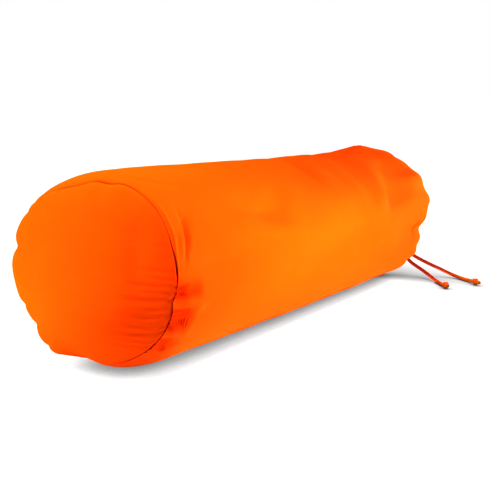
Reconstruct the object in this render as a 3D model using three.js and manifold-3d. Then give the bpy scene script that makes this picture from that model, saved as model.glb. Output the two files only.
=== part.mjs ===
// A round bolster lying on its side: a filled cotton tube, closed by a round panel sewn into one end
// and drawn shut at the other by a cord whose two knotted tails lie on the ground.
// Millimetres. +Z is up, +X runs from the sewn end to the drawn end, and -Y is the side that is seen.
import * as THREE from "three";
import { mergeVertices } from "three/addons/utils/BufferGeometryUtils.js";
import Module from "manifold-3d";

// Driving dimensions. A distance called x is measured from the seam of the round panel.
const CLOTH = 2; // thickness of the round panel with its seam allowance
const GAP = 0.35; // between pieces that touch
const PANEL_CROWN = 12; // how far the middle of the round panel bulges
const PANEL_EDGE = 10; // depth of the panel's rounded edge down to the seam
const SEAM_TILT = 0.135; // the seam leans away at its top, as a slope
const SEAM_TILT_FADE = 190;
const ROLL = { top: 26, bottom: 78 }; // length of the tube's soft roll behind the seam
const MOUTH = { y: -31, z: 69 }; // middle of the drawn mouth
const NEAR_REACH = -25; // x of the middle of the round panel
const FAR_REACH = 710; // x of the drawn end
const MIDDLE = (FAR_REACH + NEAR_REACH) / 2; // the part's origin lies here, on the ground
const MEAN_RADIUS = 116; // of the filled tube, which turns a fold's angles into a length
const LOBES_START = 520; // x where the lobes of the far shoulder begin to stand out
const LOBES_FULL = 655;
const FOLD_FADE = 0.35; // share of a fold's length over which it rises from nothing, at each end
const PLEATS = 20; // gathers at the drawn end
const AROUND = 96; // columns of faces round the tube

const CORD = { diameter: 5.5, sides: 8, steps: 30 };

// A knot's wraps: the radius of each, of its strand, their count and their lean in degrees from square
// to the cord; the radius of the core, the reach of its neck, and the length of each cut end.
const KNOT = { wrap: 3.1, strand: 2.35, wraps: 3, lean: 38, core: 4.2, neck: 6.6, endA: 4, endB: 9 };

const CLOTH_COLOUR = 0xff6a00;
const PANEL_COLOUR = 0xfd5c00;
const CORD_COLOUR = 0xc8320f;

// The filled tube, section by section: half of its width, and the heights of its top and bottom. Where
// the bottom is under the ground, the section lies flat on it.
const SECTIONS = [
  { x: 0, halfWidth: 117, top: 220, bottom: 10 },
  { x: 40, halfWidth: 118, top: 221.5, bottom: 3 },
  { x: 90, halfWidth: 118, top: 221.5, bottom: -2 },
  { x: 160, halfWidth: 116.5, top: 221.5, bottom: -3 },
  { x: 330, halfWidth: 115, top: 220, bottom: -2.5 },
  { x: 480, halfWidth: 115.5, top: 221, bottom: -2.5 },
  { x: 560, halfWidth: 117, top: 222, bottom: -3 },
  { x: 640, halfWidth: 117, top: 224, bottom: -2.5 },
  { x: 710, halfWidth: 116, top: 224, bottom: -1 },
];

// The sewn circle of the round panel.
const SEAM = { halfWidth: 116, top: 211, bottom: 14 };

// Where the seam is pulled in: turn in degrees from the top over the seen side, depth and half spread.
const SEAM_PUCKERS = [
  { turn: 8, inward: 1.5, spread: 7 },
  { turn: 100, inward: 3, spread: 5 },
  { turn: 121, inward: 1.5, spread: 9 },
  { turn: 184, inward: 9, spread: 16 },
  { turn: 208, inward: 2.5, spread: 4 },
  { turn: 224, inward: 3, spread: 4 },
  { turn: 231, inward: 3, spread: 19 },
  { turn: 241, inward: 2.5, spread: 4 },
  { turn: 268, inward: -3, spread: 9 },
  { turn: 280, inward: 5, spread: 4.5 },
  { turn: 298, inward: -7, spread: 17 },
  { turn: 303, inward: 2, spread: 4 },
  { turn: 316, inward: 3, spread: 4 },
];

// Main folds of the tube. Each runs from one place to another, given by x and turn, and bows sideways
// by some millimetres; lift is outwards, a trough where it is negative, and width is half a width.
const FOLDS = [
  { x: 27, turn: 44, toX: 25, toTurn: 84, bow: 3, width: 4, lift: -1.6 },
  { x: 12, turn: 52, toX: 15, toTurn: 86, bow: 2, width: 3.5, lift: -1.2 },
  { x: 2, turn: 97, toX: 52, toTurn: 98, bow: 2, width: 5, lift: -3.5 },
  { x: 4, turn: 102, toX: 50, toTurn: 106, bow: -2, width: 4, lift: 1.8 },
  { x: 0, turn: 110, toX: 48, toTurn: 118, bow: 3, width: 9, lift: -3.5 },
  { x: 300, turn: 28, toX: 225, toTurn: 76, bow: 10, width: 22, lift: -1.6 },
  { x: 350, turn: 6, toX: 500, toTurn: 68, bow: -14, width: 11, lift: -2.6 },
  { x: 400, turn: 8, toX: 520, toTurn: 48, bow: -8, width: 10, lift: -2.2 },
  { x: 470, turn: 20, toX: 600, toTurn: 30, bow: 4, width: 20, lift: -6 },
  { x: 570, turn: 24, toX: 520, toTurn: 98, bow: -12, width: 11, lift: 3.5 },
  { x: 612, turn: 34, toX: 545, toTurn: 96, bow: -10, width: 17, lift: -6 },
  { x: 560, turn: 92, toX: 668, toTurn: 96, bow: 2, width: 11, lift: -6 },
  { x: 500, turn: 128, toX: 660, toTurn: 136, bow: 5, width: 12, lift: -3 },
  { x: 520, turn: 232, toX: 668, toTurn: 224, bow: -5, width: 13, lift: -4 },
  { x: 470, turn: 268, toX: 662, toTurn: 258, bow: 7, width: 14, lift: -5 },
  { x: 560, turn: 300, toX: 668, toTurn: 296, bow: 3, width: 12, lift: -5 },
  { x: 450, turn: 335, toX: 650, toTurn: 326, bow: -8, width: 15, lift: -4 },
  { x: 16, turn: 352, toX: 16, toTurn: 250, bow: 0, width: 26, lift: 9 },
  { x: 3, turn: 281, toX: 60, toTurn: 279, bow: 2, width: 8, lift: -5 },
  { x: 3, turn: 318, toX: 48, toTurn: 322, bow: 2, width: 6, lift: -2 },
];

// Soft lobes of the far shoulder, by turn: how far each stands out, and its half spread in degrees.
const LOBES = [
  { turn: 2, out: 9, spread: 12 },
  { turn: 42, out: 7, spread: 14 },
  { turn: 72, out: 5, spread: 10 },
  { turn: 102, out: -11, spread: 13 },
  { turn: 138, out: 1, spread: 12 },
  { turn: 168, out: 3, spread: 14 },
  { turn: 208, out: 4, spread: 12 },
  { turn: 243, out: 6, spread: 12 },
  { turn: 280, out: 4, spread: 13 },
  { turn: 318, out: 5, spread: 12 },
];

// Rings of the round panel, as shares of its radius.
const PANEL_RINGS = [0, 0.45, 0.74, 0.9, 0.97, 1];

// Rings of the drawn end from the shoulder to the bottom of the mouth's hollow: reach is the share of
// the way from the mouth to the wall, pleat the gathers' height, and facing turns it from out to along.
const END_RINGS = [
  { x: 640, reach: 1, pleat: 0.8, facing: 0 },
  { x: 663, reach: 0.998, pleat: 1.4, facing: 0.1 },
  { x: 681, reach: 0.985, pleat: 2.2, facing: 0.3 },
  { x: 693, reach: 0.945, pleat: 3, facing: 0.6 },
  { x: 701, reach: 0.875, pleat: 3.6, facing: 0.85 },
  { x: 705, reach: 0.74, pleat: 3.8, facing: 1 },
  { x: 706, reach: 0.57, pleat: 3.6, facing: 1 },
  { x: 706, reach: 0.41, pleat: 3.2, facing: 1 },
  { x: 707, reach: 0.29, pleat: 2.6, facing: 1 },
  { x: 708, reach: 0.22, pleat: 1.6, facing: 0.8 },
  { x: 706, reach: 0.19, pleat: 0.8, facing: 0.5 },
  { x: 703, reach: 0.165, pleat: 0.4, facing: 0.3 },
  { x: 701.5, reach: 0.13, pleat: 0, facing: 0 },
  { x: 701.5, reach: 0, pleat: 0, facing: 0 },
];

// Stations along the tube between the seam and the far shoulder.
const TUBE_STATIONS = [
  3.2, 6, 11, 19, 30, 42, 56, 80, 120, 170, 220, 265, 310, 350, 390, 425, 455, 480, 505, 530, 552, 574, 595, 615,
];

// The two tails, from the mouth over the lower shoulder to the ground: x from the seam, y and z.
const TAIL_A = [
  [702.9, -34.4, 66.5],
  [707.8, -35.8, 65.4],
  [713, -39, 62.3],
  [716, -43, 57.8],
  [716.5, -48, 52],
  [715, -53.5, 46],
  [713, -59, 40.2],
  [711, -64.5, 34.9],
  [709, -70.5, 29.5],
  [707.5, -78, 24],
  [707.5, -86, 19.3],
  [706, -97.5, 13.8],
  [697, -112.5, 8.8],
  [681, -129, 5],
  [664, -145, 3.2],
  [650, -156.5, 3.8],
  [643, -162, 5],
];
const TAIL_B = [
  [702.5, -28.5, 72.4],
  [707.5, -29.4, 72.5],
  [714, -32, 71],
  [719, -36, 67.6],
  [721.5, -41.5, 64],
  [721.5, -48, 59.5],
  [719.5, -55, 54.5],
  [716.5, -62.5, 49],
  [713, -70, 43],
  [711.8, -77.6, 38],
  [713, -85.5, 33.5],
  [717, -94, 28.6],
  [722, -103, 23.5],
  [726.3, -113, 18.5],
  [730.4, -122.6, 14],
  [732, -133, 9.5],
  [731, -144.5, 6],
  [726, -157, 3.8],
  [717.5, -170.5, 3.1],
  [707, -184.5, 3.9],
  [698.2, -193, 5.2],
];

const wasm = await Module();
wasm.setup();

const radians = THREE.MathUtils.degToRad;
const { clamp, lerp, smoothstep } = THREE.MathUtils;

// The value of one column of a table at x, on a smooth curve through its rows.
function columnAt(rows, column, x) {
  const last = rows.length - 1;
  if (x <= rows[0].x) return rows[0][column];
  if (x >= rows[last].x) return rows[last][column];
  const i = rows.findIndex((row) => row.x > x) - 1;
  const slope = (k) => {
    const before = rows[Math.max(k - 1, 0)];
    const after = rows[Math.min(k + 1, last)];
    return (after[column] - before[column]) / (after.x - before.x);
  };
  const length = rows[i + 1].x - rows[i].x;
  const t = (x - rows[i].x) / length;
  const rise = 3 * t * t - 2 * t * t * t;
  const start = t * (1 - t) * (1 - t) * length * slope(i);
  const end = t * t * (t - 1) * length * slope(i + 1);
  return lerp(rows[i][column], rows[i + 1][column], rise) + start + end;
}

// The smallest angle from turn b to turn a, in degrees.
function turnBetween(a, b) {
  return THREE.MathUtils.euclideanModulo(a - b + 180, 360) - 180;
}

// A bell over a turn, one at its middle and fading over its spread.
function bell(distance, spread) {
  return Math.exp(-((distance / spread) ** 2));
}

// The oval of the seam at a turn, pulled in at its puckers, as [y, z].
function seamPoint(turn) {
  const middle = (SEAM.top + SEAM.bottom) / 2;
  const halfHeight = (SEAM.top - SEAM.bottom) / 2;
  const pull = SEAM_PUCKERS.reduce((sum, p) => sum + p.inward * bell(turnBetween(turn, p.turn), p.spread), 0);
  const across = Math.sin(radians(turn));
  const up = Math.cos(radians(turn));
  return [-(SEAM.halfWidth - pull) * across, middle + (halfHeight - pull) * up];
}

// How far the seam's lean moves a point along x.
function seamLean(x, z) {
  return SEAM_TILT * (z - (SEAM.top + SEAM.bottom) / 2) * (1 - smoothstep(x, 0, SEAM_TILT_FADE));
}

// How far the folds lift the wall at x and turn.
function foldLift(x, turn) {
  const girthPerDegree = radians(1) * MEAN_RADIUS;
  let lift = 0;
  for (const fold of FOLDS) {
    const run = fold.toX - fold.x;
    const climb = (fold.toTurn - fold.turn) * girthPerDegree;
    const length = Math.hypot(run, climb);
    const dx = x - fold.x;
    const ds = turnBetween(turn, fold.turn) * girthPerDegree;
    const along = (dx * run + ds * climb) / (length * length);
    if (along <= 0 || along >= 1) continue;
    const off = (ds * run - dx * climb) / length - fold.bow * 4 * along * (1 - along);
    const fade = smoothstep(along, 0, FOLD_FADE) * (1 - smoothstep(along, 1 - FOLD_FADE, 1));
    lift += fold.lift * fade * bell(off, fold.width);
  }
  return lift;
}

// How far the lobes of the far shoulder stand out at x and turn.
function lobeLift(x, turn) {
  const strength = smoothstep(x, LOBES_START, LOBES_FULL);
  const out = LOBES.reduce((sum, lobe) => sum + lobe.out * bell(turnBetween(turn, lobe.turn), lobe.spread), 0);
  return strength * out;
}

// The gathers as a wave round the tube, uneven in width and height, from -1 to 1.
function gather(turn) {
  const a = radians(turn);
  const phase = PLEATS * a + 0.9 * Math.sin(2 * a + 0.6) + 0.6 * Math.sin(5 * a + 2.1);
  return Math.cos(phase) * (0.78 + 0.22 * Math.sin(3 * a + 1.2));
}

// The tube's wall at x and turn as [y, z], before it is laid flat on the ground.
function wallPoint(x, turn) {
  const halfWidth = columnAt(SECTIONS, "halfWidth", x);
  const top = columnAt(SECTIONS, "top", x);
  const bottom = columnAt(SECTIONS, "bottom", x);
  const middle = (top + bottom) / 2;
  const halfHeight = (top - bottom) / 2;
  const out = foldLift(x, turn) + lobeLift(x, turn);
  const across = Math.sin(radians(turn));
  const up = Math.cos(radians(turn));
  return [-(halfWidth + out) * across, middle + (halfHeight + out) * up];
}

// A point of the round panel's outer face, at a share of its radius.
function panelPoint(share, turn) {
  const [seamY, seamZ] = seamPoint(turn);
  const middle = (SEAM.top + SEAM.bottom) / 2;
  const z = Math.max(lerp(middle, seamZ, share), 0);
  const bulge = PANEL_CROWN * (1 - share * share) + PANEL_EDGE * Math.sqrt(1 - share ** 8);
  return new THREE.Vector3(seamLean(0, z) - bulge, seamY * share, z);
}

// A point of the tube: behind the seam it rolls out from the seam's oval to the wall.
function tubePoint(x, turn) {
  const start = CLOTH + GAP;
  const rollLength = lerp(ROLL.top, ROLL.bottom, ((1 - Math.cos(radians(turn))) / 2) ** 2);
  const share = clamp((x - start) / rollLength, 0, 1);
  const rise = Math.sqrt(1 - (1 - share) ** 2);
  const [seamY, seamZ] = seamPoint(turn);
  const [wallY, wallZ] = wallPoint(x, turn);
  const z = Math.max(lerp(seamZ, wallZ, rise), 0);
  return new THREE.Vector3(x + seamLean(x, z), lerp(seamY, wallY, rise), z);
}

// A point of the drawn end, in one of its rings.
function endPoint(ring, turn) {
  const [wallY, wallZ] = wallPoint(ring.x, turn);
  const lift = ring.pleat * gather(turn);
  const out = lift * (1 - ring.facing);
  const y = lerp(MOUTH.y, wallY, ring.reach) - out * Math.sin(radians(turn));
  const z = lerp(MOUTH.z, Math.max(wallZ, 0), ring.reach) + out * Math.cos(radians(turn));
  return new THREE.Vector3(ring.x + lift * ring.facing, y, Math.max(z, 0));
}

// A closed skin: a turned surface that starts and ends on its axis, with each point of its rings moved
// to its place. pointAt gives the place of ring i at a turn in degrees.
function skin(ringCount, pointAt) {
  const profile = [];
  for (let i = 0; i < ringCount; i++) {
    const onAxis = i === 0 || i === ringCount - 1;
    profile.push(new THREE.Vector2(onAxis ? 0 : 1, i));
  }
  const geometry = new THREE.LatheGeometry(profile, AROUND);
  const place = geometry.getAttribute("position");
  const uv = geometry.getAttribute("uv");
  for (let k = 0; k < place.count; k++) {
    const ring = Math.round(uv.getY(k) * (ringCount - 1));
    const column = Math.round(uv.getX(k) * AROUND) % AROUND;
    const point = pointAt(ring, (360 * column) / AROUND);
    place.setXYZ(k, point.x, point.y, point.z);
  }
  geometry.deleteAttribute("uv");
  geometry.deleteAttribute("normal");
  const merged = mergeVertices(geometry, 1e-4);
  merged.computeVertexNormals();
  return merged;
}

// The filled tube with its hidden face behind the panel, its roll, its wall and its drawn end.
function tubeGeometry() {
  const rings = [];
  for (const share of PANEL_RINGS) {
    rings.push((turn) => panelPoint(share, turn).add(new THREE.Vector3(CLOTH + GAP, 0, 0)));
  }
  for (const x of TUBE_STATIONS) rings.push((turn) => tubePoint(x, turn));
  for (const ring of END_RINGS) rings.push((turn) => endPoint(ring, turn));
  return skin(rings.length, (i, turn) => rings[i](turn));
}

// The round panel: its outer face, and the same face moved back by its thickness.
function panelGeometry() {
  const rings = [];
  for (const share of PANEL_RINGS) rings.push((turn) => panelPoint(share, turn));
  for (const share of [...PANEL_RINGS].reverse()) {
    rings.push((turn) => panelPoint(share, turn).add(new THREE.Vector3(CLOTH, 0, 0)));
  }
  return skin(rings.length, (i, turn) => rings[i](turn));
}

// A cord tail along its route.
function tailGeometry(route) {
  const path = new THREE.CatmullRomCurve3(route.map((p) => new THREE.Vector3(...p)), false, "centripetal");
  const section = new THREE.Shape().absarc(0, 0, CORD.diameter / 2, 0, 2 * Math.PI);
  return new THREE.ExtrudeGeometry(section, {
    steps: CORD.steps,
    curveSegments: CORD.sides / 2,
    bevelEnabled: false,
    extrudePath: path,
  });
}

// A closed geometry as a solid that can be joined.
function solidOf(geometry) {
  const bare = geometry.clone();
  bare.deleteAttribute("uv");
  bare.deleteAttribute("normal");
  const merged = mergeVertices(bare, 1e-3);
  const mesh = new wasm.Mesh({
    numProp: 3,
    vertProperties: merged.getAttribute("position").array,
    triVerts: new Uint32Array(merged.index.array),
  });
  return new wasm.Manifold(mesh);
}

// The geometry of a solid.
function geometryOf(solid) {
  const mesh = solid.getMesh();
  const geometry = new THREE.BufferGeometry();
  geometry.setAttribute("position", new THREE.BufferAttribute(mesh.vertProperties, 3));
  geometry.setIndex(new THREE.BufferAttribute(mesh.triVerts, 1));
  geometry.computeVertexNormals();
  return geometry;
}

// A stopper knot on its own X axis: leaning wraps round a core, a neck that meets the cord, and a cut end.
function knotGeometry(cutEnd) {
  let knot = solidOf(new THREE.SphereGeometry(KNOT.core, 8, 6));
  for (let i = 0; i < KNOT.wraps; i++) {
    const wrap = new THREE.TorusGeometry(KNOT.wrap, KNOT.strand, 6, 9);
    wrap.rotateY(radians(90 - KNOT.lean));
    wrap.rotateX((2 * Math.PI * i) / KNOT.wraps);
    knot = knot.add(solidOf(wrap));
  }
  const length = KNOT.neck + cutEnd;
  const strand = new THREE.CylinderGeometry(CORD.diameter / 2, CORD.diameter / 2, length, CORD.sides);
  strand.rotateZ(Math.PI / 2);
  strand.translate((cutEnd - KNOT.neck) / 2, 0, 0);
  return geometryOf(knot.add(solidOf(strand)));
}

const material = (color, roughness) => new THREE.MeshStandardMaterial({ color, roughness, metalness: 0 });

// One named piece.
function piece(name, geometry, finish) {
  const mesh = new THREE.Mesh(geometry, finish);
  mesh.name = name;
  return mesh;
}

// A knot that carries on from the end of a tail, its neck a gap away from the cord's cut face.
function knotPiece(name, route, cutEnd) {
  const end = new THREE.Vector3(...route.at(-1));
  const before = new THREE.Vector3(...route.at(-2));
  const heading = end.clone().sub(before).normalize();
  const knot = piece(name, knotGeometry(cutEnd), material(CORD_COLOUR, 0.8));
  knot.quaternion.setFromUnitVectors(new THREE.Vector3(1, 0, 0), heading);
  knot.position.copy(end).addScaledVector(heading, KNOT.neck + GAP);
  return knot;
}

const bolster = new THREE.Group();
bolster.add(piece("cover_tube", tubeGeometry(), material(CLOTH_COLOUR, 0.9)));
bolster.add(piece("end_panel", panelGeometry(), material(PANEL_COLOUR, 0.9)));
bolster.add(piece("tail_a", tailGeometry(TAIL_A), material(CORD_COLOUR, 0.8)));
bolster.add(piece("tail_b", tailGeometry(TAIL_B), material(CORD_COLOUR, 0.8)));
bolster.add(knotPiece("knot_a", TAIL_A, KNOT.endA));
bolster.add(knotPiece("knot_b", TAIL_B, KNOT.endB));
bolster.position.x = -MIDDLE;

export default bolster;
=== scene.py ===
"""A round yoga bolster in orange cotton, lying on its side.

The bolster is a filled tube of plain-woven cotton. A round panel is sewn into its near end, and its far
end is drawn shut by a braided cord whose two knotted tails lie on the floor.

Tables and sizes are in millimetres. A distance called x is measured from the seam of the round panel
along the bolster, and a turn is an angle round it, in degrees from the top over the side that is seen.
Meshes are in metres.
"""

from __future__ import annotations

import logging
import math
from dataclasses import dataclass
from enum import Enum
from typing import NamedTuple, Sequence

import bpy
import numpy as np
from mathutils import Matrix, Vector


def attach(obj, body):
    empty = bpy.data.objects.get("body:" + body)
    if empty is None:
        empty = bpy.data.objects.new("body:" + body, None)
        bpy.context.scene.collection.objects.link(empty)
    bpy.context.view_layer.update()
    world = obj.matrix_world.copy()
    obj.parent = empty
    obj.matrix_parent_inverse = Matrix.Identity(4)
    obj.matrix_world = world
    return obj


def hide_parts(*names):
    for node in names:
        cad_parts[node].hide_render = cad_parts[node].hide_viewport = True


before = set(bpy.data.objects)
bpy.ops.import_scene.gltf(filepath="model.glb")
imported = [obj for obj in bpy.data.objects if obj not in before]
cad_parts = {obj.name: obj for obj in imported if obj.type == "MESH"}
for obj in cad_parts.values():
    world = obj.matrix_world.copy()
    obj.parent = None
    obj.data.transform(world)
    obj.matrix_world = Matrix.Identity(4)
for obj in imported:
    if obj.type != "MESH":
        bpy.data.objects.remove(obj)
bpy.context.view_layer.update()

log = logging.getLogger("bolster")

MM = 0.001
SEAM_TO_ORIGIN = 342.5  # from the panel's seam to the part's origin
CLOTH_MAP = "cloth"  # the map that the weave follows
PAINTED_SEAM_SHADE = "painted_seam_shade"  # the painted shade of the seam's groove at a point of the cloth, from 0 to 1
MIX_LOW, MIX_HIGH, MIX_RESULT = 6, 7, 2  # the Mix node's colour sockets
SHEEN_TINT = (1.0, 0.28, 0.02)
ROUTE_STEPS = 24  # how many steps a curve takes from one point of its route to the next
FOLD_PIECES = 24  # about how many straight pieces stand for a fold's curved route
SHADE_SAMPLES = 16


class Section(NamedTuple):
    """A cross-section of the filled tube: half its width, and the heights of its top and bottom."""

    x: float
    half_width: float
    top: float
    bottom: float


class Pucker(NamedTuple):
    """A place where the seam is pulled in: its turn, its depth and half its spread in degrees."""

    turn: float
    inward: float
    spread: float


class SeamDrift(NamedTuple):
    """How far the seam lies outside its plain oval at a turn, and how far along the bolster."""

    turn: float
    out: float
    along: float


class Fold(NamedTuple):
    """A fold along a route of places, each an x and a turn. A negative lift is a trough.

    right_width is the fold's width on the right of its route, where that isn't the width on its left.
    """

    route: tuple[tuple[float, float], ...]
    width: float
    lift: float
    right_width: float = 0.0


class Dimple(NamedTuple):
    """A dimple of the tube at the seam: its turn, its spreads before and after it, depth and reach."""

    turn: float
    before: float
    after: float
    depth: float
    reach: float


class Swell(NamedTuple):
    """A long soft swell of the filling under the cloth, or a hollow where its lift is negative.

    length and width are half its spreads, and heading is the angle from the bolster's length to its own.
    """

    x: float
    turn: float
    length: float
    width: float
    heading: float
    lift: float


class Lobe(NamedTuple):
    """A soft lobe of the far shoulder: its turn, how far it stands out and half its spread."""

    turn: float
    out: float
    spread: float


class EndRing(NamedTuple):
    """A ring of the drawn end: its share of the way from mouth to wall, and the gathers' height there.

    facing turns the gathers from standing out of the wall to standing along the bolster.
    """

    x: float
    reach: float
    pleat: float
    facing: float


class Ripple(NamedTuple):
    """One wave of an unevenness round the tube: how many times it rises, its size and its phase."""

    count: int
    size: float
    phase: float


class Crimps(NamedTuple):
    """A patch of fine crimps that run round the tube: its extent, their pitch and their height."""

    x: float
    to_x: float
    turn: float
    to_turn: float
    pitch: float
    height: float


class PanelCrease(NamedTuple):
    """A crease of the round panel that runs in from its seam, by turn and share of the radius."""

    turn: float
    to_turn: float
    share: float
    to_share: float
    width: float
    lift: float


class PanelSwell(NamedTuple):
    """A soft swell of the round panel, or a hollow: its middle's y and height over the seam's middle.

    length and width are half its spreads, and heading is the angle from the level to its length.
    """

    y: float
    up: float
    length: float
    width: float
    heading: float
    lift: float


SECTIONS = (
    Section(0, 117, 218, 8),
    Section(40, 118, 219.5, 1.5),
    Section(90, 118, 219.5, 0.5),
    Section(160, 116, 220, -0.5),
    Section(330, 115, 220, -2.5),
    Section(480, 115.5, 222, -2),
    Section(560, 117, 222.5, -1),
    Section(640, 117, 223, 0.5),
    Section(710, 116, 224, 1),
)

SEAM_PUCKERS = (
    Pucker(8, 1.5, 7),
    Pucker(100, 3, 5),
    Pucker(121, 1.5, 9),
    Pucker(184, 9, 16),
    Pucker(208, 2.5, 4),
    Pucker(224, 3, 4),
    Pucker(231, 3, 19),
    Pucker(241, 2.5, 4),
    Pucker(268, -3, 9),
    Pucker(280, 5, 4.5),
    Pucker(298, -7, 17),
    Pucker(303, 2, 4),
    Pucker(316, 3, 4),
)

SEAM_DRIFTS = (
    SeamDrift(0, -1, 0.8),
    SeamDrift(10, -0.5, 1.1),
    SeamDrift(20, 3, 1.3),
    SeamDrift(45, 4.5, 1.3),
    SeamDrift(60, 2.3, 1.4),
    SeamDrift(70, 0.7, 1.6),
    SeamDrift(80, 1, 2),
    SeamDrift(95, 3.5, 2),
    SeamDrift(110, 5.5, 1.2),
    SeamDrift(120, 7.5, 0.8),
    SeamDrift(130, 5, 0.5),
    SeamDrift(145, 1.5, 0.2),
    SeamDrift(165, 0, 0),
    SeamDrift(186, 0.5, 0),
    SeamDrift(203, 6, 0),
    SeamDrift(216, 3, 0),
    SeamDrift(229, -1, 0),
    SeamDrift(245, 3, 0),
    SeamDrift(262, 5.5, 0),
    SeamDrift(287, 7, 0),
    SeamDrift(297, 4.5, 0),
    SeamDrift(310, 5, 0),
    SeamDrift(320, 3.5, 0),
    SeamDrift(330, 0, 0),
    SeamDrift(342, -4, 0),
    SeamDrift(352, -3.5, 0.4),
)

DIMPLES = (
    Dimple(96, 5.5, 2.4, 15, 50),
    Dimple(112.5, 7, 5, 20, 46),
    Dimple(130, 5, 4, 12, 42),
    Dimple(184, 9, 9, 5, 60),
    Dimple(280, 3, 3, 7, 60),
    Dimple(224, 4, 4, 3, 40),
    Dimple(241, 4, 4, 3, 40),
    Dimple(315, 12, 9, -3.5, 60),
)

# The main folds and hollows of the tube.
FOLDS = (
    Fold(((265, 34), (235, 50), (205, 75)), 18, -2.5, 16),
    Fold(((390, 0), (362, 28), (366, 52)), 11, -6, 13),
    Fold(((455, -8), (412, 28), (440, 64)), 9, -1),
    Fold(((500, -4), (464, 35), (482, 64)), 9, -2, 10),
    Fold(((673, 14), (578, 44), (538, 60), (523, 75), (516, 94)), 15, -6.5, 50),
    Fold(((516, 10), (568, 10), (597, 20)), 7, -1.5),
    Fold(((517, 18), (522, 30), (529, 40)), 6, -1.5),
    Fold(((470, 39), (491, 49), (512, 58)), 6, 1),
    Fold(((468, 28), (492, 37), (510, 51)), 5, 1),
    Fold(((520, 232), (594, 225), (668, 224)), 13, -4),
    Fold(((470, 268), (566, 266), (662, 258)), 14, -5),
    Fold(((560, 300), (614, 299), (668, 296)), 12, -5),
    Fold(((450, 335), (550, 326), (650, 326)), 15, -4),
    Fold(((16, 352), (16, 301), (16, 250)), 26, 5.5),
    Fold(((3, 318), (25, 320), (48, 322)), 6, -2),
)

# The finer creases of the tube, most of them beside the seam.
CREASES = (
    Fold(((8, 100.5), (28, 102), (60, 106)), 4, 2.6),
    Fold(((6, 120), (30, 120), (54, 122)), 4.5, 2.2),
    Fold(((35, 49), (30, 62), (27, 75)), 3.5, -2.5),
    Fold(((28, 45), (27, 65), (18, 84)), 3, -2.4, 2.7),
    Fold(((15, 62), (12, 69), (12, 76)), 3, -0.8),
    Fold(((5, 30), (8, 62), (6, 92)), 2.2, 1),
    Fold(((4, 8), (28, 26), (72, 34)), 3.6, -0.8),
    Fold(((8, 16), (60, 27), (135, 31)), 4, 0.5),
    Fold(((420, 10), (397, 30), (410, 52)), 5, 0.8),
    Fold(((470, 6), (436, 32), (462, 60)), 5, 0.5),
)

# Where the filling swells or sinks, from behind the seam to the middle.
NEAR_SWELLS = (
    Swell(36, 58, 11, 6, -70, -1.2),
    Swell(75, 76, 30, 22, -75, -1.5),
    Swell(80, 82, 90, 24, 5, -6.5),
    Swell(120, 37, 90, 24, 0, 3),
    Swell(165, 56, 65, 11, 10, -3),
    Swell(195, 70, 75, 10, 10, 2.5),
    Swell(200, 58, 26, 14, -20, -3),
    Swell(330, 31, 40, 22, -55, -3.5),
    Swell(345, 96, 55, 11, 5, -1.5),
    Swell(390, 88, 90, 24, 0, -5),
    Swell(395, 60, 80, 22, -5, 2.5),
)

# The slanted streaks of the far half, from the top down its front.
STREAK_SWELLS = (
    Swell(355, 5, 50, 6, -15, 2),
    Swell(385, 7, 45, 10, 50, -1.5),
    Swell(440, 58, 45, 14, 75, 2.5),
    Swell(495, 57, 45, 11, 45, 2.5),
    Swell(500, 15, 40, 24, -65, -4.5),
    Swell(515, 18, 60, 22, 40, -2),
    Swell(505, 75, 75, 20, 15, 2),
    Swell(510, 55, 60, 24, -60, 5.5),
    Swell(520, 60, 55, 12, -30, 2),
    Swell(532, 78, 30, 13, -30, 2),
)

# The drawn end's shoulder, from the top round to the cord.
SHOULDER_SWELLS = (
    Swell(570, 4, 40, 11, 15, -3),
    Swell(572, 10, 18, 6, 40, 1.5),
    Swell(588, 0, 24, 9, -15, -3.5),
    Swell(586, 30, 42, 11, -35, -1.5),
    Swell(586, 73, 85, 18, -22, 3.5),
    Swell(644, 41, 65, 22, -13, -5),
    Swell(645, 8, 70, 7, 40, 4),
    Swell(660, 13, 50, 6, 42, 2.5),
    Swell(661, 23, 50, 6, 54, 3.5),
    Swell(661, 24, 30, 17, 20, 3.5),
    Swell(667, 49, 36, 12, 6, -3),
    Swell(668, 71, 26, 14, 0, -2.5),
    Swell(680, 72, 24, 8, 45, -1.5),
    Swell(648, 101, 18, 7, 80, -2.5),
)

LOBES = (
    Lobe(2, 4.5, 12),
    Lobe(15, -3.5, 9),
    Lobe(50, 9, 13),
    Lobe(74, 6.5, 7),
    Lobe(102.5, -14.5, 13.5),
    Lobe(138, 1, 12),
    Lobe(168, 3, 14),
    Lobe(208, 4, 12),
    Lobe(243, 6, 12),
    Lobe(280, 4, 13),
    Lobe(318, 5, 12),
)

END_RINGS = (
    EndRing(640, 1, 0.8, 0),
    EndRing(663, 0.998, 1.4, 0.1),
    EndRing(681, 0.985, 2.2, 0.3),
    EndRing(693, 0.945, 3, 0.6),
    EndRing(701, 0.875, 3.8, 0.85),
    EndRing(705, 0.74, 4.2, 1),
    EndRing(706, 0.57, 4.2, 1),
    EndRing(706, 0.41, 3.9, 1),
    EndRing(707.5, 0.3, 3.4, 1),
    EndRing(710, 0.235, 2.8, 0.9),
    EndRing(709.5, 0.205, 2.4, 0.6),
    EndRing(706, 0.18, 2, 0.3),
    EndRing(702, 0.13, 1.6, 0.1),
    EndRing(699, 0.05, 0.8, 0),
)

# How unevenly the gathers are spaced, the same for the finer ones, and how their heights differ.
GATHER_DRIFTS = (Ripple(2, 0.9, 0.6), Ripple(5, 0.6, 2.1))
FINE_GATHER_DRIFTS = (Ripple(3, 1.7, 0.4), Ripple(7, 1.1, 0))
GATHER_HEIGHTS = (Ripple(3, 0.22, 1.2),)

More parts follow.
